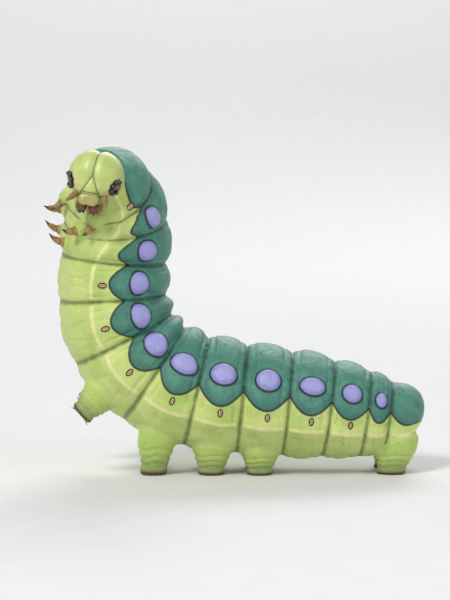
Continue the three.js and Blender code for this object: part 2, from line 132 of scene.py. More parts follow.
# Head, in its own frame: x to its left, y the way it faces, z up through the crown
HEAD_SIZE = (4.2, 3.4, 4.2)
HEAD_FORWARD = 1.25
HEAD_DROP = 0.15
HEAD_TILT = (13, 14, 16)
GROOVE_DEPTH = 0.34
GROOVE_HALF_WIDTH = 0.7
MOUTH_NARROWING = 0.36
MOUTH_FORWARD = 0.55
EYE_ARC = [(61, -2), (52, 0), (47, 8), (49, 17), (57, 22), (66, 19)]
EYE_MIDDLE = (57, 10)
LENS_RADIUS = 0.34
LENS_RISE = 0.2
CHEEK = (2.75, 1.6, -1.7)
SEAM_FORK = (0.0, 0.6)
SEAM_FOOT = (1.55, -2.55)
BROW_SEAM = [(0.0, -1.95), (1.3, -2.05)]

# Mouthparts and feelers in the head's frame, on its left side: place, half width, half thickness
LOWER_LIP = [
    ((0, 0.95, -3.3), 0.9, 0.6),
    ((0, 1.05, -4.5), 0.8, 0.55),
    ((0, 1.15, -4.85), 0.42, 0.36),
    ((0, 1.35, -5.4), 0.2, 0.2),
]
PALP = [
    ((1.85, 0.85, -3.0), 0.5, 0.5),
    ((1.9, 1.0, -4.3), 0.46, 0.46),
    ((1.85, 1.15, -4.7), 0.32, 0.32),
    ((1.75, 1.4, -5.2), 0.16, 0.16),
]
FEELER = [
    ((2.1, 2.1, -2.4), 0.5, 0.5),
    ((2.5, 3.5, -3.0), 0.45, 0.45),
    ((2.55, 3.65, -3.07), 0.32, 0.32),
    ((2.75, 4.3, -3.35), 0.3, 0.3),
    ((2.95, 4.9, -3.55), 0.08, 0.08),
]
LIP_GROOVES = [(0.6, 0.15)]
PALP_GROOVES = [(0.36, 0.2), (0.66, 0.2)]
FEELER_GROOVES = [(0.26, 0.2), (0.74, 0.2)]
JAW_MIDDLE = (0.96, 2.75, -4.2)
JAW_LEAN = 0.25

# Fleshy limbs: share of the way from root to sole, half length, half width
PROLEG_SHAPE = [
    (0, 3.1, 2.7), (0.4, 2.95, 2.5), (0.68, 2.4, 2.0),
    (0.86, 1.95, 1.6), (0.95, 2.05, 1.7), (1, 1.8, 1.45),
]
CLASPER_SHAPE = [
    (0, 3.3, 2.2), (0.4, 3.2, 2.15), (0.7, 2.6, 1.8),
    (0.88, 2.15, 1.5), (0.96, 2.25, 1.6), (1, 2.0, 1.4),
]
LIMB_FOLDS = [(0.52, 0.13), (0.66, 0.16), (0.79, 0.12)]
PROLEG_SPREAD = 3.5
PROLEG_ROOT_ANGLE = 146
PROLEG_ROOT_DEPTH = 0.72
STANDING_PROLEGS = [(6, -12.28), (5, -3.58), (4, 3.72)]
LIFTED_RING = 7
LIFTED = {"reach": 4.1, "spread": 0.12, "back": 0.6, "scale": 0.94}
CLASPER_ROOT = {"share": 0.66, "out": 3.0, "down": 1.8}
CLASPER_SOLE = (23.52, 2.9)

# Jointed legs: ring, share of it, degrees from the middle of the back, length, lean, outwards
LEGS = [(12, 0.36, 144, 4.0, -0.3, 0.17), (11, 0.5, 148, 4.3, 0.05, 0.07), (10, 0.5, 149, 4.7, 0.1, 0.12)]
# Their shape: share of the way down, half thickness, and bend forwards as a share of the length
LEG_SHAPE = [(0, 1.15, 0), (0.26, 1.05, 0), (0.31, 0.86, 0.01), (0.4, 0.88, 0.02), (0.55, 0.74, 0.05),
             (0.6, 0.58, 0.07), (0.68, 0.58, 0.09), (0.82, 0.42, 0.14), (0.9, 0.28, 0.2), (1, 0.06, 0.3)]
LEG_ROOT_DEPTH = 0.82
LEG_JOINTS = (0.6, 0.84)
STUMP_END = 0.5

# Hooks of a sole: how many, steps out and up along one, and its half thickness at each step
HOOKS = 31
LIFTED_HOOK = [(-0.3, 0.15), (-0.22, -0.16), (-0.06, -0.34), (0.16, -0.3)]
STANDING_HOOK = [(-0.14, 0.38), (0.02, 0.36), (0.14, 0.26), (0.16, 0.1)]
LONG_HOOK = (0.06, 0.055, 0.042, 0.012)
SHORT_HOOK = (0.05, 0.042, 0.012)

# Hairs: how many of each, and how far above the floor their tips stay
SKIN_HAIRS = 1500
LIMB_HAIRS = 34
HEAD_HAIRS = 80
FLOOR_ROOM = 0.45

# Stage, lights and camera, in metres, watts and degrees
FLOOR_REACH = 0.42
FLOOR_SWEEP = 1.1
CAMERA_TARGET = (-0.00147, 0.0, 0.02625)
CAMERA_DISTANCE = 0.3
CAMERA_ELEVATION = 5
LENS_LENGTH = 120
FLOOR_PALE = (0.75, 0.75, 0.742, 1)
FLOOR_PALER = (0.79, 0.79, 0.785, 1)
WORLD_TINT = (0.93, 0.95, 1.0, 1)
WORLD_STRENGTH = 0.42
# Name, place, place that it is aimed at, size, power, tint
LIGHTS = [
    ("key", (-0.3, -0.38, 0.5), CAMERA_TARGET, 0.22, 2.7, (1, 0.985, 0.96)),
    ("fill", (0.45, -0.4, 0.25), CAMERA_TARGET, 0.45, 0.7, (0.97, 0.985, 1)),
    ("back", (0.2, 0.5, 0.42), CAMERA_TARGET, 0.3, 1.0, (1, 1, 1)),
    ("backdrop", (0, 1.1, 0.9), (0, 0.8, 0), 0.6, 4.8, (1, 1, 1)),
]


def bell(value, middle, width):
    """A smooth bump of height 1 at the middle."""
    return np.exp(-(((value - middle) / width) ** 2))


def smoothstep(value, low, high):
    x = np.clip((value - low) / (high - low), 0, 1)
    return x * x * (3 - 2 * x)


def mix(a, b, share):
    return a + (b - a) * share


def unit(vectors):
    return vectors / np.maximum(np.linalg.norm(vectors, axis=-1, keepdims=True), 1e-12)


def round_turns(count):
    """Evenly spaced angles once round."""
    return 2 * np.pi * np.arange(count) / count


def bent(axes, flex, turn, twist):
    """The directions t, l and d after a bend of the body, in degrees."""
    t, l, d = axes
    axis = twist * t + flex * l + turn * d
    degrees = np.linalg.norm(axis)
    if degrees == 0:
        return axes
    axis = axis / degrees
    cos, sin = math.cos(math.radians(degrees)), math.sin(math.radians(degrees))
    return axes * cos + np.cross(axis, axes) * sin + np.outer(axes @ axis, axis) * (1 - cos)


def make_spine():
    """Places along the body's middle line, and the directions to head, left and back at each."""
    place = np.array(TAIL_TIP)
    axes = bent(np.array([[-1.0, 0, 0], [0, -1.0, 0], [0, 0, 1.0]]), -TAIL_PITCH, 0, 0)
    places, turns = [place], [axes]
    for _, length, _, _, flex, turn, twist in RINGS:
        for _ in range(STEPS):
            axes = bent(axes, flex / STEPS, turn / STEPS, twist / STEPS)
            place = place + axes[0] * length / STEPS
            places.append(place)
            turns.append(axes)
    return np.array(places), np.array(turns)


SPINE, SPINE_AXES = make_spine()


def frame_at(station):
    """Place and directions t, l, d of the body's middle line; each ring adds 1 to the station."""
    step = np.clip(np.asarray(station, float), 0, len(RINGS)) * STEPS
    low = np.minimum(np.floor(step).astype(int), len(SPINE) - 2)
    share = step - low
    place = mix(SPINE[low], SPINE[low + 1], share[..., None])
    axes = mix(SPINE_AXES[low], SPINE_AXES[low + 1], share[..., None, None])
    return place, unit(axes)


def ring_and_share(station):
    ring = np.clip(np.floor(station), 0, LAST).astype(int)
    return ring, station - ring


def girth(station):
    """Smooth curve through the rings' mid radii."""
    k = np.floor(station - 0.5).astype(int)
    x = station - 0.5 - k
    a, b, c, d = (RADII[np.clip(k + i, 0, LAST)] for i in (-1, 0, 1, 2))
    return b + 0.5 * x * (c - a + x * (2 * a - 5 * b + 4 * c - d + x * (3 * (b - c) + d - a)))


def skin_radius(station, angle):
    """Distance of the plain ringed body from its middle line, as in the solids."""
    ring, share = ring_and_share(station)
    depth = mix(FOLDS[ring], FOLDS[ring + 1], share)
    fold_share = mix(BELLY_FOLD, 1.0, smoothstep(np.cos(angle), -0.8, 0.1))
    fullness = np.clip(np.sin(np.pi * share), 0, 1) ** FOLD_SHARPNESS
    radius = girth(station) - depth * fold_share * (1 - fullness)
    cap = np.sqrt(np.clip(1 - (1 - share / TAIL_ROUND) ** 2, 0, 1))
    radius = np.where((ring == 0) & (share < TAIL_ROUND), radius * cap, radius)
    return np.where(ring == LAST, radius * (1 - NECK_TAPER * smoothstep(share, 0.3, 1)), radius)


def place_on(station, angle, radius):
    """Point at a distance from the body's middle line."""
    place, axes = frame_at(station)
    up = np.cos(angle)
    ring, share = ring_and_share(station)
    overhang = np.where(ring == 0, TAIL_OVERHANG * up * (1 - share) * radius / RADII[0], 0)
    flat = np.where(up < 0, BELLY_FLATNESS, 1)
    return (
        place
        + axes[..., 1, :] * (radius * np.sin(angle))[..., None]
        + axes[..., 2, :] * (radius * up * flat)[..., None]
        - axes[..., 0, :] * overhang[..., None]
    )


def skin_point(station, angle, grow=0.0):
    station, angle = np.broadcast_arrays(np.asarray(station, float), np.asarray(angle, float))
    return place_on(station, angle, skin_radius(station, angle) + grow)


def degrees_down(angle):
    """Degrees from the middle of the back, 0 to 180, the same on both sides."""
    return np.degrees(np.abs((angle + np.pi) % (2 * np.pi) - np.pi))


def squeeze(station, angle):
    """How much shorter the skin is than the middle line, on the inner side of a bend."""
    step = 0.04
    ahead = skin_point(np.clip(station + step, 0, 13), angle)
    behind = skin_point(np.clip(station - step, 0, 13), angle)
    ring, _ = ring_and_share(station)
    return 1 - np.linalg.norm(ahead - behind, axis=-1) / (2 * step * LENGTHS[ring])


def relief(station, angle):
    """Height of the folds and swellings that the plain rings lack."""
    ring, share = ring_and_share(station)
    down = degrees_down(angle)
    full = np.clip(np.sin(np.pi * share), 0, 1) ** 0.5
    from_fold = np.minimum(share, 1 - share) * LENGTHS[ring]
    upper = 1 - smoothstep(down, 92, 128)
    sway = 0.02 * np.sin(np.radians(down) * 5 + ring * 1.7)
    fade = 0.62 + 0.38 * np.sin(np.radians(down) * 7 + ring * 2.9)
    height = np.zeros(np.shape(station))
    for middle, width, rise, left in LENGTHWISE:
        height = height + rise * bell(down, middle, width) * mix(left, 1, full)
    height -= 0.26 * bell(share, 0.165 + sway, 0.035) * upper * fade
    height -= 0.26 * bell(share, 0.84 + sway, 0.032) * upper * (1.3 - fade)
    for depth, middle, sways, width, low, high in CREASES:
        height -= depth * bell(share, middle + sways * sway, width) * bell(down, low, high)
    height += 0.07 * np.cos(2 * np.pi * from_fold / 0.85) * np.exp(-from_fold / 0.9)
    pinch = np.clip(squeeze(station, angle), -0.3, 0.5)
    height -= 1.3 * np.clip(pinch, 0, 1) * (1 - full) * np.minimum(FOLDS[ring], 1)
    return height * smoothstep(station, 0.15, 0.9) * (1 - smoothstep(station, 12.6, 13))


def tube_rows():
    """Stations of the tube's rows, close together where the tail end is round."""
    turn = np.linspace(0.06, np.pi / 2, 22)
    tail = TAIL_ROUND * (1 - np.cos(turn))
    rest = np.linspace(TAIL_ROUND, 1, 9)[1:]
    body = 1 + np.arange(1, LAST * ROWS_IN_RING + 1) / ROWS_IN_RING
    return np.concatenate([tail, rest, body])


def make_tube():
    """Points of the body's surface in rows and columns, and the station of each."""
    stations, angles = np.meshgrid(tube_rows(), round_turns(COLUMNS), indexing="ij")
    radius = skin_radius(stations, angles) + relief(stations, angles)
    return place_on(stations, angles, radius), stations


def between_rows(rings):
    """Faces between rows of points, each row closed round."""
    index = np.arange(rings.shape[0] * rings.shape[1]).reshape(rings.shape[:2])
    beside = np.roll(index, -1, 1)
    return np.stack([index[:-1], beside[:-1], beside[1:], index[1:]], -1).reshape(-1, 4).tolist()


def closed_tube(rings):
    """Vertices and faces of a closed solid through rings of points, with a fan at each end."""
    columns = rings.shape[1]
    points = np.vstack([rings.reshape(-1, 3), rings[0].mean(0), rings[-1].mean(0)])
    first, last = len(points) - 2, len(points) - 1
    faces = between_rows(rings)
    faces += [[(k + 1) % columns, k, first] for k in range(columns)]
    end = first - columns
    faces += [[end + k, end + (k + 1) % columns, last] for k in range(columns)]
    return outward(points, faces)


def oval_rings(middle, first, second, long, wide, sides):
    """Rings round a middle line, with half lengths along two directions at each of its places."""
    around = round_turns(sides)
    return (
        middle[:, None]
        + first * (long[:, None] * np.cos(around))[..., None]
        + second * (wide[:, None] * np.sin(around))[..., None]
    )


def corners_of(faces):
    """The first, second, third and last corners of quads and triangles."""
    return np.array([[*face[:3], face[-1]] for face in faces]).T


def outward(points, faces):
    """The same faces, turned over if they point inwards."""
    a, b, c, d = points[corners_of(faces)]
    volume = (a * (np.cross(b, c) + np.cross(c, d))).sum()
    return points, faces if volume > 0 else [face[::-1] for face in faces]


def ball(polar, around):
    """Coordinates on a ball of radius 1, for angles from its top and round it."""
    return np.sin(polar) * np.cos(around), np.sin(polar) * np.sin(around), np.cos(polar) + 0 * around


def ellipsoid(centre, axes, halves, rows=16, columns=24):
    """Closed ellipsoid with half axes along three directions."""
    x, y, z = ball(np.linspace(0, np.pi, rows + 1)[1:-1, None], round_turns(columns)[None])
    rings = centre + x[..., None] * axes[0] * halves[0] + y[..., None] * axes[1] * halves[1]
    return closed_tube(rings + z[..., None] * axes[2] * halves[2])


def along_shape(shape, ways):
    """Columns of a limb's shape, smoothly read between its stops."""
    table = np.array(shape, float)
    spots = np.interp(ways, table[:, 0], np.arange(len(table)))
    low = np.clip(np.floor(spots).astype(int), 0, len(table) - 2)
    x = (spots - low)[:, None]
    a, b, c, d = (table[np.clip(low + i, 0, len(table) - 1)] for i in (-1, 0, 1, 2))
    slope_b, slope_c = (c - a) / 2, (d - b) / 2
    return (
        b * (1 + 2 * x) * (1 - x) ** 2
        + slope_b * x * (1 - x) ** 2
        + c * x * x * (3 - 2 * x)
        - slope_c * x * x * (1 - x)
    )[:, 1:]


def add_object(name, data):
    thing = bpy.data.objects.new(name, data)
    bpy.context.scene.collection.objects.link(thing)
    return thing


def mesh_object(name, points, faces, material):
    mesh = bpy.data.meshes.new(name)
    mesh.from_pydata((np.asarray(points) * MM).tolist(), [], faces)
    mesh.polygons.foreach_set("use_smooth", [True] * len(mesh.polygons))
    mesh.update()
    mesh.materials.append(material)
    return add_object(name, mesh)


def make_piece(name, points, faces, material, slot, nodes=(), attributes=None):
    """A named piece of the animal, which may stand for solids."""
    piece = mesh_object(name, points, faces, material)
    for key, values in (attributes or {}).items():
        layer = piece.data.attributes.new(key, "FLOAT", "POINT")
        layer.data.foreach_set("value", np.asarray(values, np.float32))
    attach(piece, "root")
    if nodes:
        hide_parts(*nodes)
    return piece


def join(parts):
    """Several closed parts as one list of points and faces."""
    points, faces, count = [], [], 0
    for part_points, part_faces in parts:
        points.append(part_points)
        faces += [[i + count for i in face] for face in part_faces]
        count += len(part_points)
    return np.vstack(points), faces


def fuse(parts, voxel):
    """One closed skin over overlapping closed parts: its points, faces and edges."""
    points, faces = join(parts)
    mesh = bpy.data.meshes.new("parts")
    mesh.from_pydata(points.tolist(), [], faces)
    holder = add_object("parts", mesh)
    remesh = holder.modifiers.new("fuse", "REMESH")
    remesh.mode = "VOXEL"
    remesh.voxel_size = voxel
    fused = holder.evaluated_get(bpy.context.evaluated_depsgraph_get()).to_mesh()
    points = np.empty(len(fused.vertices) * 3)
    fused.vertices.foreach_get("co", points)
    edges = np.empty(len(fused.edges) * 2, int)
    fused.edges.foreach_get("vertices", edges)
    faces = [list(polygon.vertices) for polygon in fused.polygons]
    bpy.data.objects.remove(holder)
    bpy.data.meshes.remove(mesh)
    return points.reshape(-1, 3), faces, edges.reshape(-1, 2)


def smoothed(points, edges, rounds, weight):
    """Points after moving each towards its neighbours' mean by its weight, several times."""
    ends = np.concatenate([edges[:, 0], edges[:, 1]])
    others = np.concatenate([edges[:, 1], edges[:, 0]])
    count = np.maximum(np.bincount(ends, minlength=len(points)), 1)[:, None]
    for _ in range(rounds):
        sums = [np.bincount(ends, points[others, k], len(points)) for k in range(3)]
        points = points + weight[:, None] * (np.stack(sums, 1) / count - points)
    return points


def point_normals(points, faces):
    corners = corners_of(faces)
    a, b, c, d = points[corners]
    normals = np.cross(c - a, d - b)
    total = np.zeros_like(points)
    for corner in corners:
        for axis in range(3):
            total[:, axis] += np.bincount(corner, normals[:, axis], len(points))
    return unit(total)


class Limb:
    """A fleshy limb from its root inside the body to the middle of its sole."""

    def __init__(self, name, shape, root, sole, first=(1, 0, 0), second=(0, 1, 0), lifted=False):
        self.name, self.shape, self.lifted = name, shape, lifted
        self.scale = LIFTED["scale"] if lifted else 1.0
        self.root, self.sole, self.first, self.second = np.array([root, sole, first, second], float)

    def solid(self):
        ways = np.linspace(0, 1, LIMB_ROWS)
        long, wide = along_shape(self.shape, ways).T * self.scale
        middle = mix(self.root, self.sole, ways[:, None])
        return closed_tube(oval_rings(middle, self.first, self.second, long, wide, LIMB_COLUMNS))

    def places(self, points):
        """Share of the way down, and distance from the middle, 1 on the limb's surface."""
        basis = np.stack([self.sole - self.root, self.first, self.second], 1)
        way, x, y = np.linalg.solve(basis, (points - self.root).T)
        long, wide = along_shape(self.shape, np.clip(way, 0, 1)).T * self.scale
        return way, np.hypot(x / long, y / wide), np.arctan2(y, x)


def limb_root(ring, share, sign, angle, depth):
    place, axes = frame_at(ring + share)
    skin = skin_point(ring + share, sign * math.radians(angle))
    return axes, skin, mix(place, skin, depth)


def make_limbs():
    limbs = []
    for side, sign in SIDES:
        for ring, sole in STANDING_PROLEGS:
            _, _, root = limb_root(ring, 0.5, sign, PROLEG_ROOT_ANGLE, PROLEG_ROOT_DEPTH)
            foot = (sole, TAIL_TIP[1] - sign * PROLEG_SPREAD, 0)
            limbs.append(Limb(f"proleg_{side}_{10 - ring}", PROLEG_SHAPE, root, foot))
        (t, l, d), skin, root = limb_root(LIFTED_RING, 0.5, sign, PROLEG_ROOT_ANGLE, PROLEG_ROOT_DEPTH)
        down = unit(-d + LIFTED["spread"] * sign * l)
        foot = skin + LIFTED["reach"] * down - LIFTED["back"] * t
        name = f"proleg_{side}_{10 - LIFTED_RING}"
        limbs.append(Limb(name, PROLEG_SHAPE, root, foot, t, l, lifted=True))
        place, (t, l, d) = frame_at(CLASPER_ROOT["share"])
        root = place + sign * CLASPER_ROOT["out"] * l - CLASPER_ROOT["down"] * d
        foot = (CLASPER_SOLE[0], TAIL_TIP[1] - sign * CLASPER_SOLE[1], 0)
        limbs.append(Limb(f"clasper_{side}", CLASPER_SHAPE, root, foot))
    return limbs


# A jointed leg: its root inside the body, its place on the skin, and its directions
Leg = namedtuple("Leg", "name root skin down behind left length")


def make_legs():
    legs = []
    for ring, share, angle, length, lean, outwards in LEGS:
        for side, sign in SIDES:
            (t, l, d), skin, root = limb_root(ring, share, sign, angle, LEG_ROOT_DEPTH)
            down = unit(-d + lean * t + outwards * sign * l)
            behind = unit(np.cross(l, down))
            legs.append(Leg(f"leg_{side}_{13 - ring}", root, skin, down, behind, l, length))
    return legs


def leg_path(leg, ways):
    """Middle line and half thickness of a jointed leg at shares of its length."""
    half, bend = along_shape(LEG_SHAPE, ways).T
    straight = leg.root + leg.down * (ways * leg.length)[:, None]
    return straight - leg.behind * (bend * leg.length)[:, None], half


def leg_stump(leg):
    """Soft base that a jointed leg grows out of."""
    ways = np.linspace(0, STUMP_END, 30)
    middle, _ = leg_path(leg, ways)
    share = ways / STUMP_END
    half = mix(1.4, 1.12, smoothstep(share, 0.3, 0.95)) * np.sqrt(1 - smoothstep(share, 0.8, 1.12))
    return closed_tube(oval_rings(middle, leg.behind, leg.left, half, half, 32))


def collar_rings(edge):
    """The front of the first ring, rolled inwards behind the head."""
    _, axes = frame_at(13.0)
    centre = edge.mean(0)
    turns = [(0.13, 0.985), (0.2, 0.95), (0.18, 0.9), (-0.1, 0.8), (-0.8, 0.55)]
    return [centre + (edge - centre) * size + axes[0] * ahead for ahead, size in turns]


def noise_at(points, size, seed):
    """Smooth noise from -1 to 1 with lumps of a given size."""
    scaled = points / size + seed
    return np.array([noise.noise(Vector(p)) for p in scaled.tolist()])


class Skin:
    """The whole soft skin: body, prolegs and claspers in one closed mesh."""

    def __init__(self):
        self.tube, self.rows = make_tube()
        self.limbs = make_limbs()
        rings = np.concatenate([self.tube, np.array(collar_rings(self.tube[-1]))])
        parts = [closed_tube(rings)] + [limb.solid() for limb in self.limbs]
        parts += [leg_stump(leg) for leg in make_legs()]
        self.points, self.faces, self.edges = fuse(parts, SKIN_VOXEL)
        self.find_places()
        self.smooth_joins()
        self.raise_details()
        self.tree = BVHTree.FromPolygons(self.points.tolist(), self.faces)

    def find_places(self):
        """Station, angle and distance of each point from the plain body."""
        columns = self.tube.shape[1]
        tree = BVHTree.FromPolygons(self.tube.reshape(-1, 3).tolist(), between_rows(self.tube))
        hits = [tree.find_nearest(p) for p in self.points.tolist()]
        self.body_points = np.array([hit[0] for hit in hits])
        self.off_body = np.array([hit[3] for hit in hits])
        row, column = np.divmod(np.array([hit[2] for hit in hits]), columns)
        corner = self.tube[row, column]
        ahead = self.tube[row + 1, column] - corner
        aside = self.tube[row, (column + 1) % columns] - corner
        offset = self.body_points - corner
        shares = [(offset * side).sum(1) / np.maximum((side**2).sum(1), 1e-9) for side in (ahead, aside)]
        u, v = np.clip(shares, 0, 1)
        self.station = mix(self.rows[row, 0], self.rows[row + 1, 0], u)
        self.angle = (column + v) * 2 * np.pi / columns

    def smooth_joins(self):
        """Soft hollows where limbs leave the body; elsewhere the body keeps its own shape."""
        near_limb, near_leg, self.way, self.limb_angle = np.zeros((4, len(self.points)))
        self.limb_out = np.ones(len(self.points))
        for limb in self.limbs:
            way, out, around = limb.places(self.points)
            inside = (way > -0.1) & (way < 1.2) & (out < 1.6)
            near = np.where(inside, 1 - smoothstep(out, 1.15, 1.55), 0)
            closer = near > near_limb
            for kept, found in ((self.way, way), (self.limb_angle, around), (self.limb_out, out)):
                kept[closer] = found[closer]
            near_limb = np.maximum(near_limb, near)
        for leg in make_legs():
            distance = np.linalg.norm(self.points - leg.skin, axis=1)
            near_leg = np.maximum(near_leg, 1 - smoothstep(distance, 2.6, 3.6))
        join = near_limb * (1 - smoothstep(self.off_body, 0.9, 1.7))
        join = np.maximum(join, near_leg * (1 - smoothstep(self.off_body, 0.15, 0.5)))
        near_limb = np.maximum(near_limb, near_leg)
        self.points = smoothed(self.points, self.edges, 2, np.full(len(self.points), 0.5))
        self.points = smoothed(self.points, self.edges, 26, 0.6 * join)
        on_body = (1 - smoothstep(self.off_body, 0.08, 0.4)) * (1 - near_limb)
        on_body[self.station > 12.98] = 0
        self.points = mix(self.points, self.body_points, on_body[:, None])
        self.limb = near_limb * smoothstep(self.off_body, 0.15, 1.0)
        on_end = smoothstep(self.way, 0.93, 0.99) * (1 - smoothstep(self.limb_out, 0.45, 0.85))
        self.sole = self.limb * on_end

    def raise_details(self):
        """Pads, limb folds and small unevenness, along the skin's normals."""
        self.spot = np.full(len(self.points), -FAR)
        for ring in PAD_RINGS:
            for _, sign in SIDES:
                self.spot = np.maximum(self.spot, pad_depth(self.points, ring, sign))
        height = PAD_RISE * smoothstep(self.spot, -0.25, 0.85)
        height -= 0.1 * bell(self.spot, -0.3, 0.2)
        shift = 0.02 * np.sin(2 * self.limb_angle + 1) + 0.012 * np.sin(5 * self.limb_angle)
        for fold, depth in LIMB_FOLDS:
            height -= depth * bell(self.way, fold + shift, 0.026) * self.limb
        crease = bell(np.sin(self.limb_angle) * self.limb_out, 0, 0.12)
        height -= self.sole * (0.22 + 0.2 * crease)
        height += 0.1 * noise_at(self.points, 3.4, 3.0)
        height += 0.05 * noise_at(self.points, 1.3, 9.0) * (1 - smoothstep(self.spot, -0.1, 0.1))
        normals = point_normals(self.points, self.faces)
        height *= smoothstep(self.points[:, 2], 0.05, 0.6) * (1 - smoothstep(self.station, 12.8, 13.0))
        self.points = self.points + normals * height[:, None]
        self.points[:, 2] = np.maximum(self.points[:, 2], 0)

    def attributes(self):
        """What the skin's colours are read from."""
        ring, share = ring_and_share(self.station)
        down = degrees_down(self.angle)
        radius = girth(self.station)
        wave = np.clip(np.sin(np.pi * share), 0, 1)
        rise = SADDLE_EDGE_IN_RING - SADDLE_EDGE_AT_FOLD
        edge = SADDLE_EDGE_AT_FOLD + rise * wave**0.8
        slope = np.radians(rise) * 0.8 * np.pi * np.cos(np.pi * share) * radius / LENGTHS[ring]
        saddle = np.radians(edge - down) * radius / np.sqrt(1 + slope**2)
        from_fold = np.minimum(share, 1 - share) * LENGTHS[ring]
        end_fold = (self.station < 0.6) | (self.station > 12.5)
        from_fold = np.where(end_fold, 3.0, from_fold)
        return {
            "saddle": saddle - 4 * self.limb,
            "spot": self.spot,
            "line": np.radians(down - LINE_ANGLE) * radius + 6 * self.limb,
            "fold": from_fold + 3 * self.limb,
            "belly": smoothstep(down, 112, 160),
            "back": np.radians(down) * radius,
            "limb": self.limb,
            "way": self.way * self.limb,
            "sole": self.sole,
            "station": self.station,
            "along": self.station * MEAN_RING,
        }

    def at(self, station, angle):
        """Place and normal of the skin at a station and angle."""
        return self.on_skin(skin_point(station, angle), out_of_body(station, angle))

    def on_skin(self, point, out):
        """Where a line in towards a point meets the skin, and the skin's normal there."""
        start = Vector((point + out * 4).tolist())
        place, normal, _, _ = self.tree.ray_cast(start, Vector((-out).tolist()), 9)
        if place is None:
            place, normal, _, _ = self.tree.find_nearest(Vector(point.tolist()))
        return np.array(place), np.array(normal)


def out_of_body(station, angle):
    _, axes = frame_at(station)
    return unit(axes[1] * math.sin(angle) + axes[2] * math.cos(angle))


def pad_size(ring, sign):
    """Half length and half height of one pad, each a little different."""
    vary = 1 + 0.07 * math.sin(ring * 2.3 + sign)
    return LENGTHS[ring] * PAD_LENGTH * vary, PAD_HALF_HEIGHT * RADII[ring] / 9.0 / vary


def pad_depth(points, ring, sign):
    """Distance inside the rim of one raised pad, negative outside it."""
    angle = sign * math.radians(PAD_ANGLE)
    centre = skin_point(ring + 0.5, angle)
    _, axes = frame_at(ring + 0.5)
    out = out_of_body(ring + 0.5, angle)
    around = np.cross(axes[0], out)
    depth = np.full(len(points), -FAR)
    offset = points - centre
    close = (offset**2).sum(1) < 36
    along, across = offset[close] @ axes[0], offset[close] @ around
    long, high = pad_size(ring, sign)
    reach = np.hypot(along / long, across / high)
    rate = np.maximum(np.hypot(along / long**2, across / high**2), 1e-6)
    depth[close] = np.maximum(-FAR, reach * (1 - reach) / rate)
    return depth


def colour(red, green, blue):
    """A screen colour of 0 to 255 as linear light."""
    parts = [c / 255 for c in (red, green, blue)]
    return tuple(c / 12.92 if c < 0.04045 else ((c + 0.055) / 1.055) ** 2.4 for c in parts) + (1.0,)


class Shader:
    """Short ways to make the nodes of one material. Sizes of texture are in millimetres."""

    def __init__(self, name, **settings):
        self.material = bpy.data.materials.new(name)
        self.material.use_nodes = True
        self.tree = self.material.node_tree
        self.tree.nodes.clear()
        self.surface = self.tree.nodes.new("ShaderNodeBsdfPrincipled")
        output = self.tree.nodes.new("ShaderNodeOutputMaterial")
        self.tree.links.new(self.surface.outputs[0], output.inputs["Surface"])
        self.place = self.make("TexCoord", "Object")
        for key, value in settings.items():
            self.surface.inputs[key.replace("_", " ")].default_value = value

    def put(self, socket, value):
        if isinstance(value, bpy.types.NodeSocket):
            self.tree.links.new(value, socket)
        else:
            socket.default_value = value

    def set(self, name, value):
        self.put(self.surface.inputs[name], value)

    def make(self, kind, output, inputs=(), **settings):
        """One node with its settings and what goes into its sockets, as the socket that comes out."""
        node = self.tree.nodes.new("ShaderNode" + kind)
        for key, value in settings.items():
            setattr(node, key, value)
        for key, value in dict(inputs).items():
            self.put(node.inputs[key], value)
        return node.outputs[output]

    def math(self, operation, a, b=0.0):
        return self.make("Math", 0, {0: a, 1: b}, operation=operation)

    def times(self, a, b):
        return self.math("MULTIPLY", a, b)

    def plus(self, a, b):
        return self.math("ADD", a, b)

    def attributes(self, *names):
        return [self.make("Attribute", "Fac", attribute_name=name) for name in names]

    def step(self, value, low, high):
        """0 at low, 1 at high and smooth between; low may be the larger one."""
        start, end = (0.0, 1.0) if low < high else (1.0, 0.0)
        limits = {"From Min": min(low, high), "From Max": max(low, high), "To Min": start, "To Max": end}
        return self.make("MapRange", "Result", {"Value": value, **limits}, interpolation_type="SMOOTHSTEP")

    def band(self, value, half, soft):
        """1 where a value is within half of 0, with a soft edge."""
        return self.step(self.math("ABSOLUTE", value), half + soft, half)

    def mix(self, share, a, b, blend="MIX"):
        return self.make("Mix", 2, {0: share, 6: a, 7: b}, data_type="RGBA", blend_type=blend)

    def tint(self, base, share, strength, tone):
        """A colour with another one over it, where the share rises."""
        return self.mix(self.times(share, strength), base, tone)

    def noise(self, size, detail=2.0, roughness=0.5):
        inputs = {"Scale": 1 / (size * MM), "Detail": detail, "Roughness": roughness, "Vector": self.place}
        return self.make("TexNoise", "Fac", inputs)

    def wrinkles(self, width, length):
        """Fine folds that run round the body."""
        scales = zip(self.attributes("along", "back", "station"), (1 / width, 1 / length, 0.7))
        place = self.make("CombineXYZ", 0, enumerate(self.times(*pair) for pair in scales))
        inputs = {"Scale": 1.0, "Detail": 2.0, "Distortion": 0.6, "Vector": place}
        return self.make("TexNoise", "Fac", inputs)

    def cells(self, size, feature="F1", spread=1.0):
        """Outputs of a texture of small cells."""
        inputs = {"Scale": 1 / (size * MM), "Randomness": spread, "Vector": self.place}
        return self.make("TexVoronoi", 0, inputs, feature=feature).node.outputs

    def bumps(self, *layers):
        """Bumps one over another: each a height from 0 to 1 and its depth in millimetres."""
        inputs = {}
        for height, depth in layers:
            inputs.update({"Strength": 1.0, "Distance": depth * MM, "Height": height})
            inputs["Normal"] = self.make("Bump", "Normal", inputs)
        self.set("Normal", inputs["Normal"])

    def roughness(self, least, spread, size, detail=2):
        """Gloss that varies a little over the surface."""
        self.set("Roughness", self.plus(self.times(self.noise(size, detail), spread), least))


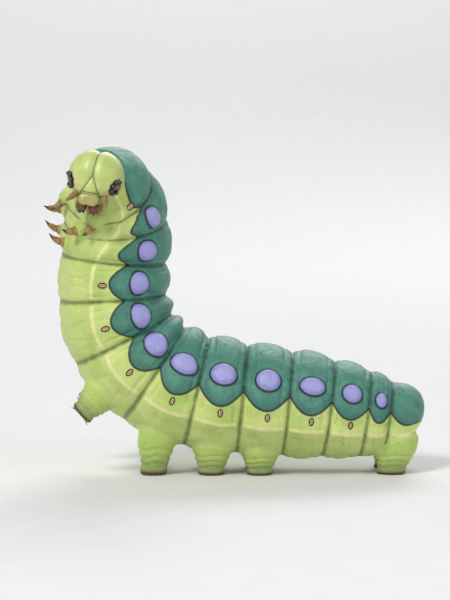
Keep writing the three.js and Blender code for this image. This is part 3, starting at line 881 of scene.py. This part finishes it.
FLANK = colour(203, 217, 132)
FLANK_DEEP = colour(177, 200, 107)
BELLY = colour(189, 206, 125)
SADDLE = colour(64, 126, 110)
SADDLE_DEEP = colour(42, 90, 81)
SADDLE_PALE = colour(87, 147, 127)
SPOT = colour(144, 144, 204)
SPOT_PALE = colour(164, 164, 219)
DARK_LINE = colour(34, 42, 38)
CREAM = colour(238, 232, 168)
# Painted shade for the creases between rings
FOLD_PAINTED_SHADE = colour(70, 92, 52)
FOOT = colour(146, 164, 96)
FOOT_DARK = colour(84, 62, 52)
SOLE = colour(168, 158, 112)
HEAD_GREEN = colour(195, 209, 126)
CHITIN = colour(116, 74, 42)
CHITIN_DARK = colour(36, 20, 14)
PETAL_SHADE = colour(118, 118, 184)
HEAD_DEEP = colour(176, 196, 108)
HEAD_MOTTLE = colour(158, 172, 92)
HEAD_SEAM = colour(92, 88, 48)
CHEEK_WARM = colour(222, 172, 140)
MOUTH_WARM = colour(170, 140, 88)
EYE_PATCH = colour(74, 50, 34)
LENS_RIM = colour(40, 28, 22)
LENS_BLACK = colour(8, 7, 9)
LENS_BROWN = colour(30, 20, 16)
LEG_PALE = colour(168, 138, 78)
LEG_BROWN = colour(132, 98, 54)
HAIR_PALE = colour(238, 234, 204)
HAIR_TAN = colour(206, 190, 140)

# Shells of one kind: their gloss, and the pale and dark colours of each
SHELL_GLOSS = {"Specular_IOR_Level": 0.5, "Coat_Weight": 0.3, "Coat_Roughness": 0.18}
SHELLS = {
    "mouth_soft": (colour(178, 176, 104), colour(112, 84, 48)),
    "mouth_hard": (colour(112, 66, 38), CHITIN_DARK),
    "feeler_shell": (colour(164, 138, 80), colour(84, 56, 34)),
    "spiracle_rim": (colour(70, 46, 32), CHITIN_DARK),
    "spiracle_lid": (colour(226, 198, 140), colour(190, 140, 84)),
    "hook": (CHITIN, CHITIN_DARK),
}


def skin_material():
    s = Shader(
        "silkworm_skin", Specular_IOR_Level=0.45, Subsurface_Weight=0.22, Subsurface_Scale=0.0011,
        Subsurface_Radius=(0.8, 1.0, 0.35),
    )
    saddle, spot, line, fold = s.attributes("saddle", "spot", "line", "fold")
    belly, back, limb, way, sole = s.attributes("belly", "back", "limb", "way", "sole")
    broad, middling, fine = s.noise(5.0, 3), s.noise(1.2, 4, 0.6), s.noise(0.25, 3)
    unevenness = s.math("SUBTRACT", middling, 0.5)

    flank = s.mix(s.step(broad, 0.35, 0.68), FLANK, FLANK_DEEP)
    flank = s.tint(flank, belly, 0.7, BELLY)
    flank = s.tint(flank, s.times(s.step(middling, 0.5, 0.72), belly), 0.5, FLANK_DEEP)
    wave = s.times(unevenness, 0.5)
    cream_line = s.band(s.plus(line, wave), 0.14, 0.32)
    flank = s.tint(flank, s.times(cream_line, s.step(fold, 0.15, 0.8)), 0.7, CREAM)

    green = s.mix(s.step(middling, 0.3, 0.7), SADDLE, SADDLE_PALE)
    green = s.mix(s.step(broad, 0.4, 0.7), green, SADDLE)
    green = s.tint(green, s.step(back, 1.5, 0.1), 0.6, SADDLE_DEEP)
    green = s.tint(green, s.step(saddle, 1.6, 0.0), 0.45, SADDLE_DEEP)

    grains = s.cells(0.62, spread=0.9)
    chosen = s.step(grains["Color"], 0.52, 0.56)
    grain = s.times(s.times(s.step(grains["Distance"], 0.3, 0.17), chosen), s.step(spot, 0.0, -0.25))
    green = s.tint(green, grain, 0.5, SADDLE_PALE)
    flank = s.tint(flank, grain, 0.55, CREAM)

    edge = s.plus(saddle, s.times(wave, 0.35))
    body = s.mix(s.step(edge, -0.04, 0.04), flank, green)
    body = s.tint(body, s.band(edge, 0.13, 0.1), 0.9, DARK_LINE)

    petal = s.mix(s.step(spot, 0.1, 1.1), SPOT, SPOT_PALE)
    petal = s.tint(petal, s.step(middling, 0.45, 0.75), 0.35, PETAL_SHADE)
    body = s.mix(s.step(spot, -0.02, 0.06), body, petal)
    body = s.tint(body, s.band(spot, 0.12, 0.08), 0.92, DARK_LINE)

    # Painted shade: the skin is darkened towards each fold between rings, where shade falls in the crease
    shade = s.step(s.plus(fold, s.times(unevenness, 0.55)), 0.5, 0.0)
    body = s.tint(body, shade, 0.7, s.mix(1.0, body, FOLD_PAINTED_SHADE, "MULTIPLY"))
    foot = s.mix(s.step(way, 0.5, 0.85), FLANK_DEEP, FOOT)
    foot = s.mix(s.step(way, 0.87, 0.96), foot, FOOT_DARK)
    foot = s.tint(foot, sole, 0.85, SOLE)
    s.set("Base Color", s.mix(s.step(limb, 0.1, 0.9), body, foot))

    smoother_pads = s.times(s.step(spot, 0.0, 0.3), 0.12)
    s.set("Roughness", s.math("SUBTRACT", s.plus(s.times(fine, 0.22), 0.33), smoother_pads))
    creases = s.step(s.cells(0.2, "DISTANCE_TO_EDGE")["Distance"], 0.0, 0.3)
    s.bumps((creases, 0.014), (s.wrinkles(0.3, 3.5), 0.07), (grain, 0.07), (middling, 0.16), (fine, 0.03))
    return s.material


def head_point(around, polar, grow=0.0):
    """Point of the head's shell in its own frame, as in the solids."""
    x, y, z = ball(polar, around)
    low = np.maximum(0, -z)
    groove = bell(x * HEAD_SIZE[0], 0, GROOVE_HALF_WIDTH) * smoothstep(z + 0.3 * y, -0.35, 0.35)
    size = 1 - GROOVE_DEPTH * groove / HEAD_SIZE[2]
    narrow = 1 - MOUTH_NARROWING * low**1.4
    return np.stack(
        [
            x * (HEAD_SIZE[0] * narrow * size + grow),
            y * (HEAD_SIZE[1] * size + grow) + MOUTH_FORWARD * low * np.maximum(0, y + 0.4),
            z * (HEAD_SIZE[2] * size + grow),
        ],
        -1,
    )


def make_head_frame():
    place, axes = frame_at(13.0)
    t, l, d = bent(axes, *HEAD_TILT)
    return place + t * HEAD_FORWARD - d * HEAD_DROP, np.stack([l, t, d])


HEAD_PLACE, HEAD_AXES = make_head_frame()


def from_head(points):
    """Points of the head's frame in the animal's frame."""
    return HEAD_PLACE + np.asarray(points, float) @ HEAD_AXES


def head_direction(x, y, z):
    return unit(np.array([x, y, z], float) @ HEAD_AXES)


def line_distance(points, start, end):
    """Distance from points to a straight line between two places."""
    start, end = np.array(start, float), np.array(end, float)
    along = end - start
    share = np.clip(((points - start) @ along) / (along @ along), 0, 1)
    return np.linalg.norm(points - start - share[..., None] * along, axis=-1)


def eye_place(sign, round_, below, rise):
    around, polar = math.radians(90 - sign * round_), math.radians(90 + below)
    return from_head(head_point(np.array(around), np.array(polar), rise))


def lens_places(sign):
    """Centre and outward direction of each lens on one side."""
    for round_, below in EYE_ARC:
        point = eye_place(sign, round_, below, LENS_RISE)
        yield point, unit(point - HEAD_PLACE)


def head_piece():
    """The hard shell of the head, with its seams, and soft colour round the eyes."""
    rows, columns = 110, 160
    polar = np.pi * np.arange(1, rows) / rows
    polar, around = np.meshgrid(polar, round_turns(columns), indexing="ij")
    local = head_point(around, polar)
    x, y, z = local[..., 0], local[..., 1], local[..., 2]
    flat = np.stack([np.abs(x), z], -1)
    front = smoothstep(y, 0.6, 1.6)
    arm = line_distance(flat, SEAM_FORK, SEAM_FOOT)
    brow = line_distance(flat, *BROW_SEAM)
    middle = np.where(z > SEAM_FORK[1], np.abs(x), FAR)
    seam = np.minimum(np.where(front > 0.3, np.minimum(arm, brow), FAR), middle)
    height = -0.09 * bell(seam, 0, 0.13) - 0.1 * front * bell(arm, 0, 0.3)
    inside = smoothstep(0.75 - 0.4 * np.abs(z + 1.3) - 0.5 * np.abs(x), 0, 0.6)
    height += 0.12 * front * (np.abs(x) < 1.5) * inside
    points = from_head(local)
    lens_distance, eye_distance = np.full((2, *points.shape[:2]), FAR)
    for _, sign in SIDES:
        for place, _ in lens_places(sign):
            lens_distance = np.minimum(lens_distance, np.linalg.norm(points - place, axis=-1))
        place = eye_place(sign, *EYE_MIDDLE, 0.0)
        eye_distance = np.minimum(eye_distance, np.linalg.norm(points - place, axis=-1))
    height += 0.16 * smoothstep(eye_distance, 1.7, 1.0) - 0.1 * bell(lens_distance, 0.42, 0.14)
    points = points + unit(points - HEAD_PLACE) * height[..., None]
    vertices, faces = closed_tube(points)
    from_cheek = np.stack([np.abs(x) - CHEEK[0], (y - CHEEK[1]) * 0.6, z - CHEEK[2]], -1)
    cheek = bell(np.linalg.norm(from_cheek, axis=-1), 0, 0.95)

    low = smoothstep(-z, 1.2, 3.8) * front
    values = {"seam": seam, "lens": lens_distance, "eye": eye_distance, "cheek": cheek, "low": low}
    for key, grid in values.items():
        values[key] = np.concatenate([grid.reshape(-1), [grid[0].mean(), grid[-1].mean()]])
    make_piece("head_shell", vertices, faces, head_material(), "skin", ["head"], values)


def head_material():
    s = Shader(
        "head_shell", Specular_IOR_Level=0.5, Subsurface_Weight=0.12, Subsurface_Scale=0.0008,
        Subsurface_Radius=(0.8, 1.0, 0.4), Coat_Weight=0.18, Coat_Roughness=0.25,
    )
    seam, lens, eye, cheek, low = s.attributes("seam", "lens", "eye", "cheek", "low")
    broad, middling = s.noise(3.0, 3), s.noise(0.7, 4)
    base = s.mix(s.step(broad, 0.35, 0.7), HEAD_GREEN, HEAD_DEEP)
    base = s.tint(base, s.step(middling, 0.55, 0.75), 0.3, HEAD_MOTTLE)
    base = s.tint(base, cheek, 0.62, CHEEK_WARM)
    base = s.tint(base, low, 0.5, MOUTH_WARM)
    base = s.tint(base, s.step(seam, 0.22, 0.03), 0.75, HEAD_SEAM)
    patch = s.plus(eye, s.times(middling, 0.3))
    base = s.tint(base, s.step(patch, 1.35, 0.95), 0.8, EYE_PATCH)
    s.set("Base Color", s.tint(base, s.step(lens, 0.62, 0.42), 0.9, LENS_RIM))
    s.roughness(0.27, 0.16, 0.14)
    pits = s.step(s.cells(0.15, "DISTANCE_TO_EDGE")["Distance"], 0.0, 0.3)
    s.bumps((pits, 0.008), (middling, 0.07))
    return s.material


def shell_material(name, attribute=None):
    """Hard or thick shell in its pale and dark colours, darker where the attribute rises."""
    pale, dark = SHELLS[name]
    s = Shader(name, **SHELL_GLOSS)
    base = s.tint(pale, s.noise(0.5, 3), 0.5, dark)
    if attribute:
        base = s.mix(s.attributes(attribute)[0], base, dark)
    s.set("Base Color", base)
    s.roughness(0.22, 0.2, 0.09)
    s.bumps((s.noise(0.2, 3), 0.03))
    return s.material


def lens_material():
    s = Shader("eye_lens", Specular_IOR_Level=0.6, Coat_Weight=0.6, Coat_Roughness=0.04)
    s.set("Base Color", s.mix(s.noise(0.4, 2), LENS_BLACK, LENS_BROWN))
    s.roughness(0.06, 0.06, 0.2)
    return s.material


def eye_pieces():
    material = lens_material()
    for side, sign in SIDES:
        lenses = []
        for place, out in lens_places(sign):
            first = unit(np.cross(out, HEAD_AXES[2]))
            axes = (first, np.cross(out, first), out)
            lenses.append(ellipsoid(place, axes, (LENS_RADIUS,) * 3, 14, 20))
        make_piece(f"lenses_{side}", *join(lenses), material, "eye", [f"eye_{side}"])


def loft(stops, sign, first, second, grooves):
    """Tapered limb of the head through stops of place, half width and half thickness."""
    last = len(stops) - 1
    table = [
        [k / last, *from_head((sign * x, y, z)), wide, thick]
        for k, ((x, y, z), wide, thick) in enumerate(stops)
    ]
    ways = np.linspace(0, 1, 40)
    read = along_shape(table, ways)
    for groove, depth in grooves:
        read[:, 3:] *= 1 - depth * bell(ways, groove, 0.02)[:, None]
    return closed_tube(oval_rings(read[:, :3], first, second, read[:, 3], read[:, 4], 20))


def mouth_pieces():
    """Upper lip, jaws, lower lip with its silk spout, palps and feelers."""
    soft, hard = shell_material("mouth_soft"), shell_material("mouth_hard", "edge")
    feeler = shell_material("feeler_shell")
    lip_axes = (head_direction(1, 0, 0), head_direction(0, 0.35, -1), head_direction(0, 1, 0.35))
    lobes = [ellipsoid(from_head((0, 3.3, -2.65)), lip_axes, (1.5, 0.5, 0.34))]
    for _, sign in SIDES:
        lobes.append(ellipsoid(from_head((sign * 0.6, 3.3, -3.0)), lip_axes, (0.98, 0.92, 0.4)))
    points, faces, edges = fuse(lobes, 0.06)
    points = smoothed(points, edges, 10, np.full(len(points), 0.5))
    make_piece("upper_lip_lobes", points, faces, soft, "skin", ["upper_lip"])

    across, through = head_direction(1, 0, 0), head_direction(0, 1, 0.3)
    lip = loft(LOWER_LIP, 1, across, through, LIP_GROOVES)
    make_piece("lower_lip_and_spout", *lip, soft, "skin", ["lower_lip"])

    for side, sign in SIDES:
        palp = loft(PALP, sign, across, through, PALP_GROOVES)
        make_piece(f"palp_joints_{side}", *palp, soft, "skin", [f"palp_{side}"])
        wide, high = head_direction(1, -0.3 * sign, 0), head_direction(0, 0.3, 1)
        stalk = loft(FEELER, sign, wide, high, FEELER_GROOVES)
        make_piece(f"feeler_joints_{side}", *stalk, feeler, "horn", [f"feeler_{side}"])
        lean = sign * JAW_LEAN
        axes = (head_direction(1, 0, -lean), head_direction(0, 1, 0), head_direction(lean, 0, 1))
        middle = from_head((sign * JAW_MIDDLE[0], *JAW_MIDDLE[1:]))
        points, faces = ellipsoid(middle, axes, (0.8, 0.7, 0.92), 60, 80)
        aside, ahead, above = ((points - middle) @ np.stack(axes, 1)).T
        edge = smoothstep(-above, 0.3, 0.75)
        points = points + axes[2] * (0.13 * edge * np.cos(aside * 11 + 0.5))[:, None]
        points = points - axes[1] * (0.12 * bell(above, 0.1, 0.3) * smoothstep(ahead, 0.0, 0.5))[:, None]
        make_piece(f"jaw_shell_{side}", points, faces, hard, "horn", [f"jaw_{side}"], {"edge": edge})


def leg_material():
    """Hard brown shell that fades into the skin's green at its base, with a near black claw."""
    s = Shader("leg_shell", **SHELL_GLOSS)
    way, = s.attributes("way")
    blotches = s.noise(0.4, 3)
    brown = s.mix(s.step(blotches, 0.35, 0.7), LEG_PALE, LEG_BROWN)
    uneven = s.plus(way, s.times(blotches, 0.08))
    base = s.mix(s.step(uneven, 0.46, 0.58), FLANK_DEEP, brown)
    for joint in LEG_JOINTS:
        base = s.tint(base, s.band(s.math("SUBTRACT", way, joint), 0.006, 0.014), 0.6, CHITIN_DARK)
    s.set("Base Color", s.mix(s.step(way, 0.82, 0.92), base, CHITIN_DARK))
    s.roughness(0.24, 0.2, 0.09)
    s.bumps((s.noise(0.2, 3), 0.03))
    return s.material


def leg_pieces():
    """Jointed legs: rounded links with grooves between, and a dark hooked claw."""
    material = leg_material()
    rows, sides = 90, 28
    ways = np.linspace(0, 1, rows)
    for leg in make_legs():
        middle, half = leg_path(leg, ways)
        for groove in LEG_JOINTS:
            half = half * (1 - 0.1 * bell(ways, groove, 0.014))
        shell = closed_tube(oval_rings(middle, leg.behind, leg.left, half, half, sides))
        tones = np.concatenate([np.repeat(ways, sides), [0.0, 1.0]])
        make_piece(f"{leg.name}_joints", *shell, material, "horn", [leg.name], {"way": tones})


def spiracle_piece(skin):
    """Breathing pores along each side: an oval rim round a pale slit."""
    rims, lids, slots = [], [], []
    around = round_turns(32)
    turns = round_turns(10)
    for station, degrees in SPIRACLES:
        for _, sign in SIDES:
            angle = sign * math.radians(degrees)
            place, normal = skin.at(station, angle)
            _, axes = frame_at(station)
            high = unit(np.cross(axes[0], normal))
            along = np.cross(high, normal)
            size = 0.8 + 0.04 * station / 2
            short, tall = SPIRACLE_HALVES
            circle = along * (short * np.cos(around))[:, None] + high * (tall * np.sin(around))[:, None]
            direction = unit(circle)
            rim = (
                place
                + size * circle[:, None]
                + 0.11 * np.cos(turns)[None, :, None] * direction[:, None]
                + (0.1 * np.sin(turns) + 0.02)[None, :, None] * normal
            )
            rims.append(ring_solid(rim))
            axes = (along, high, normal)
            lids.append(ellipsoid(place - 0.02 * normal, axes, (0.3 * size, 0.57 * size, 0.07), 10, 24))
            slots.append(ellipsoid(place + 0.035 * normal, axes, (0.05, 0.42 * size, 0.03), 8, 16))
    dark, pale = shell_material("spiracle_rim"), shell_material("spiracle_lid")
    make_piece("spiracle_rims", *join(rims), dark, "horn")
    make_piece("spiracle_lids", *join(lids), pale, "skin")
    make_piece("spiracle_slits", *join(slots), dark, "horn")


def ring_solid(rim):
    """Closed ring through sections that follow one another in a loop."""
    count, sides = rim.shape[:2]
    index = np.arange(count * sides).reshape(count, sides)
    ahead = np.roll(index, -1, 0)
    faces = np.stack([index, ahead, np.roll(ahead, -1, 1), np.roll(index, -1, 1)], -1).reshape(-1, 4)
    return outward(rim.reshape(-1, 3), faces.tolist())


def hair_mesh(roots):
    """Joined tapered hairs. Each root: place, direction, length, half thickness, place on the map."""
    points, faces, places = [], [], []
    stations = np.array([0, 0.4, 0.75])
    turns = round_turns(3)
    for place, direction, length, half, (u, v) in roots:
        if place[2] + direction[2] * length < FLOOR_ROOM:
            continue
        side = unit(np.cross(direction, random.normal(size=3)))
        other = np.cross(direction, side)
        sag = side * length * random.uniform(0.05, 0.3)
        base = len(points) * 10
        middle = place + direction * (stations * length)[:, None] + sag * (stations**2)[:, None]
        size = half * (1 - 0.75 * stations)
        ring = side * np.cos(turns)[:, None] + other * np.sin(turns)[:, None]
        rings = middle[:, None] + size[:, None, None] * ring
        tip = place + direction * length + sag
        points.append(np.vstack([rings.reshape(-1, 3), tip]))
        for row in range(2):
            for k in range(3):
                a, b = base + row * 3 + k, base + row * 3 + (k + 1) % 3
                faces.append([a, b, b + 3, a + 3])
        faces += [[base + 6 + k, base + 6 + (k + 1) % 3, base + 9] for k in range(3)]
        faces.append([base + 2, base + 1, base])
        places += [(u, v)] * 10
    return np.vstack(points), faces, np.array(places)


def hair_piece(name, roots, material):
    """Hairs as one piece, with a map of small patches at their roots' places."""
    points, faces, places = hair_mesh(roots)
    piece = make_piece(name, points, faces, material, "skin")
    mesh = piece.data
    layer = mesh.uv_layers.new(name="OFBake")
    corners = np.empty(len(mesh.loops), int)
    mesh.loops.foreach_get("vertex_index", corners)
    turn = 2 * np.pi * (corners % 10) / 10
    patch = places[corners] + 0.0015 * np.stack([np.cos(turn), np.sin(turn)], 1)
    layer.data.foreach_set("uv", patch.astype(np.float32).ravel())
    return piece


def hair_material():
    s = Shader("hair", Specular_IOR_Level=0.5, Sheen_Weight=0.2)
    s.set("Base Color", s.mix(s.noise(0.8, 2), HAIR_PALE, HAIR_TAN))
    s.roughness(0.35, 0.2, 0.3)
    return s.material


def body_hair_roots(skin):
    """Longer hairs on the pads and side warts, and short fine ones over the whole skin."""
    roots = []

    def plant(station, degrees, length, half, spread):
        place, normal = skin.at(station, math.radians(degrees))
        direction = unit(normal + spread * random.normal(size=3))
        on_map = (0.02 + 0.84 * station / 13, 0.02 + 0.96 * (degrees % 360) / 360)
        roots.append((place - 0.12 * normal, direction, length, half, on_map))

    def bunch(ring, sign, count, middle, apart, lengths, half):
        for _ in range(count):
            station = ring + 0.5 + random.uniform(-0.12, 0.12)
            degrees = sign * (middle + random.uniform(-apart, apart))
            plant(station, degrees, random.uniform(*lengths), half, 0.3)

    for ring in PAD_RINGS:
        for _, sign in SIDES:
            bunch(ring, sign, 7, PAD_ANGLE, 6, (0.5, 1.1), 0.02)
            bunch(ring, sign, 3, 21, 5, (0.5, 1.0), 0.02)
            bunch(ring, sign, 5, LINE_ANGLE + 2, 5, (0.5, 1.1), 0.022)
    for _ in range(SKIN_HAIRS):
        station, degrees = random.uniform(0.3, 12.7), random.uniform(-180, 180)
        plant(station, degrees, random.uniform(0.25, 0.6), 0.015, 0.45)
    return roots


def limb_hair_roots(skin):
    roots = []
    for limb in skin.limbs:
        for _ in range(LIMB_HAIRS):
            way, turn = random.uniform(0.45, 0.85), random.uniform(0, 2 * math.pi)
            out = unit(limb.first * math.cos(turn) + limb.second * math.sin(turn))
            middle = mix(limb.root, limb.sole, way)
            place, normal = skin.on_skin(middle + out * 1.5, out)
            direction = unit(normal + 0.35 * random.normal(size=3))
            on_map = (0.02 + 0.84 * random.uniform(0.3, 0.6), 0.5 + random.uniform(-0.08, 0.08))
            roots.append((place - 0.1 * normal, direction, random.uniform(0.5, 1.1), 0.022, on_map))
    return roots


def head_hair_roots():
    roots = []
    for _ in range(HEAD_HAIRS):
        around, polar = math.radians(random.uniform(-10, 190)), math.radians(random.uniform(15, 150))
        inner = from_head(head_point(np.array(around), np.array(polar), -0.1))
        out = unit(inner - HEAD_PLACE)
        direction = unit(out + 0.4 * random.normal(size=3))
        on_map = (0.88 + 0.1 * around / 4, 0.05 + 0.9 * polar / math.pi)
        roots.append((inner, direction, random.uniform(0.4, 1.0), 0.022, on_map))
    return roots


def hook_path(limb, turn, sign):
    """Places along one small hook at the inner edge of a sole, and the way round the sole there."""
    long, wide = np.array(limb.shape[-1][1:]) * limb.scale
    up = unit(np.cross(limb.first, limb.second))
    up = up * np.sign(up @ (limb.root - limb.sole))
    inner = limb.second * (-sign if limb.lifted else sign)
    edge = limb.first * long * math.sin(turn) + inner * wide * math.cos(turn)
    out = unit(edge)
    path = LIFTED_HOOK if limb.lifted else STANDING_HOOK
    places = [limb.sole + edge + out * aside + up * rise for aside, rise in path]
    return places, unit(np.cross(out, up)), up


def hook_piece(skin):
    """Small dark hooks in an arc round the inner half of each sole."""
    hooks = []
    turns = round_turns(6)
    for limb in skin.limbs:
        sign = 1 if "left" in limb.name else -1
        for k in range(HOOKS):
            turn = math.radians(mix(-85, 85, k / (HOOKS - 1)))
            places, tangent, up = hook_path(limb, turn, sign)
            halves = SHORT_HOOK if k % 2 else LONG_HOOK
            hooks.append(closed_tube(np.array([
                place + half * (tangent * np.cos(turns)[:, None] + up * np.sin(turns)[:, None])
                for place, half in zip(places, halves)
            ])))
    points, faces = join(hooks)
    points[:, 2] = np.maximum(points[:, 2], 0.0)
    make_piece("sole_hooks", points, faces, shell_material("hook"), "horn")


def stage_piece():
    """Pale floor that curves up far away on all sides."""
    turn = np.linspace(0, np.pi / 2, 32)
    flat = np.linspace(0.02, FLOOR_REACH, 12)[:-1]
    radii = np.concatenate([flat, FLOOR_REACH + FLOOR_SWEEP * np.sin(turn)])
    heights = np.concatenate([0 * flat, FLOOR_SWEEP * (1 - np.cos(turn))])
    around = round_turns(96)
    radii, heights = radii[:, None], heights[:, None]
    rings = np.stack([radii * np.cos(around), radii * np.sin(around), heights + 0 * around], -1)
    faces = [face[::-1] for face in between_rows(rings)] + [list(range(96))]
    s = Shader("floor_paper", Specular_IOR_Level=0.2)
    s.set("Base Color", s.mix(s.noise(6, 3), FLOOR_PALE, FLOOR_PALER))
    s.roughness(0.7, 0.1, 2)
    mesh_object("floor", rings.reshape(-1, 3) / MM, faces, s.material)


def area_light(name, place, target, size, watts, tint):
    light = bpy.data.lights.new(name, "AREA")
    light.shape, light.size, light.energy, light.color = "DISK", size, watts, tint
    lamp = add_object(name, light)
    lamp.location = place
    lamp.rotation_euler = (Vector(target) - Vector(place)).to_track_quat("-Z", "Y").to_euler()


def light_and_camera():
    for name, *settings in LIGHTS:
        area_light(name, *settings)
    world = bpy.data.worlds.new("studio")
    world.use_nodes = True
    sky = world.node_tree.nodes["Background"].inputs
    sky["Color"].default_value = WORLD_TINT
    sky["Strength"].default_value = WORLD_STRENGTH
    bpy.context.scene.world = world
    bpy.context.scene.view_settings.view_transform = "Standard"

    data = bpy.data.cameras.new("camera")
    data.lens, data.sensor_width = LENS_LENGTH, 36
    data.clip_start, data.clip_end = 0.01, 10
    camera = add_object("camera", data)
    elevation = math.radians(CAMERA_ELEVATION)
    back = Vector((0, -math.cos(elevation), math.sin(elevation)))
    camera.location = Vector(CAMERA_TARGET) + back * CAMERA_DISTANCE
    camera.rotation_euler = (-back).to_track_quat("-Z", "Y").to_euler()
    bpy.context.scene.camera = camera


light_and_camera()
stage_piece()
skin = Skin()
limb_names = [limb.name for limb in skin.limbs]
make_piece("skin", skin.points, skin.faces, skin_material(), "skin", NAMES + limb_names, skin.attributes())
head_piece()
eye_pieces()
mouth_pieces()
leg_pieces()
spiracle_piece(skin)
hook_piece(skin)
hairs = hair_material()
hair_piece("body_hairs", body_hair_roots(skin), hairs)
hair_piece("limb_hairs", limb_hair_roots(skin), hairs)
hair_piece("head_hairs", head_hair_roots(), hairs)
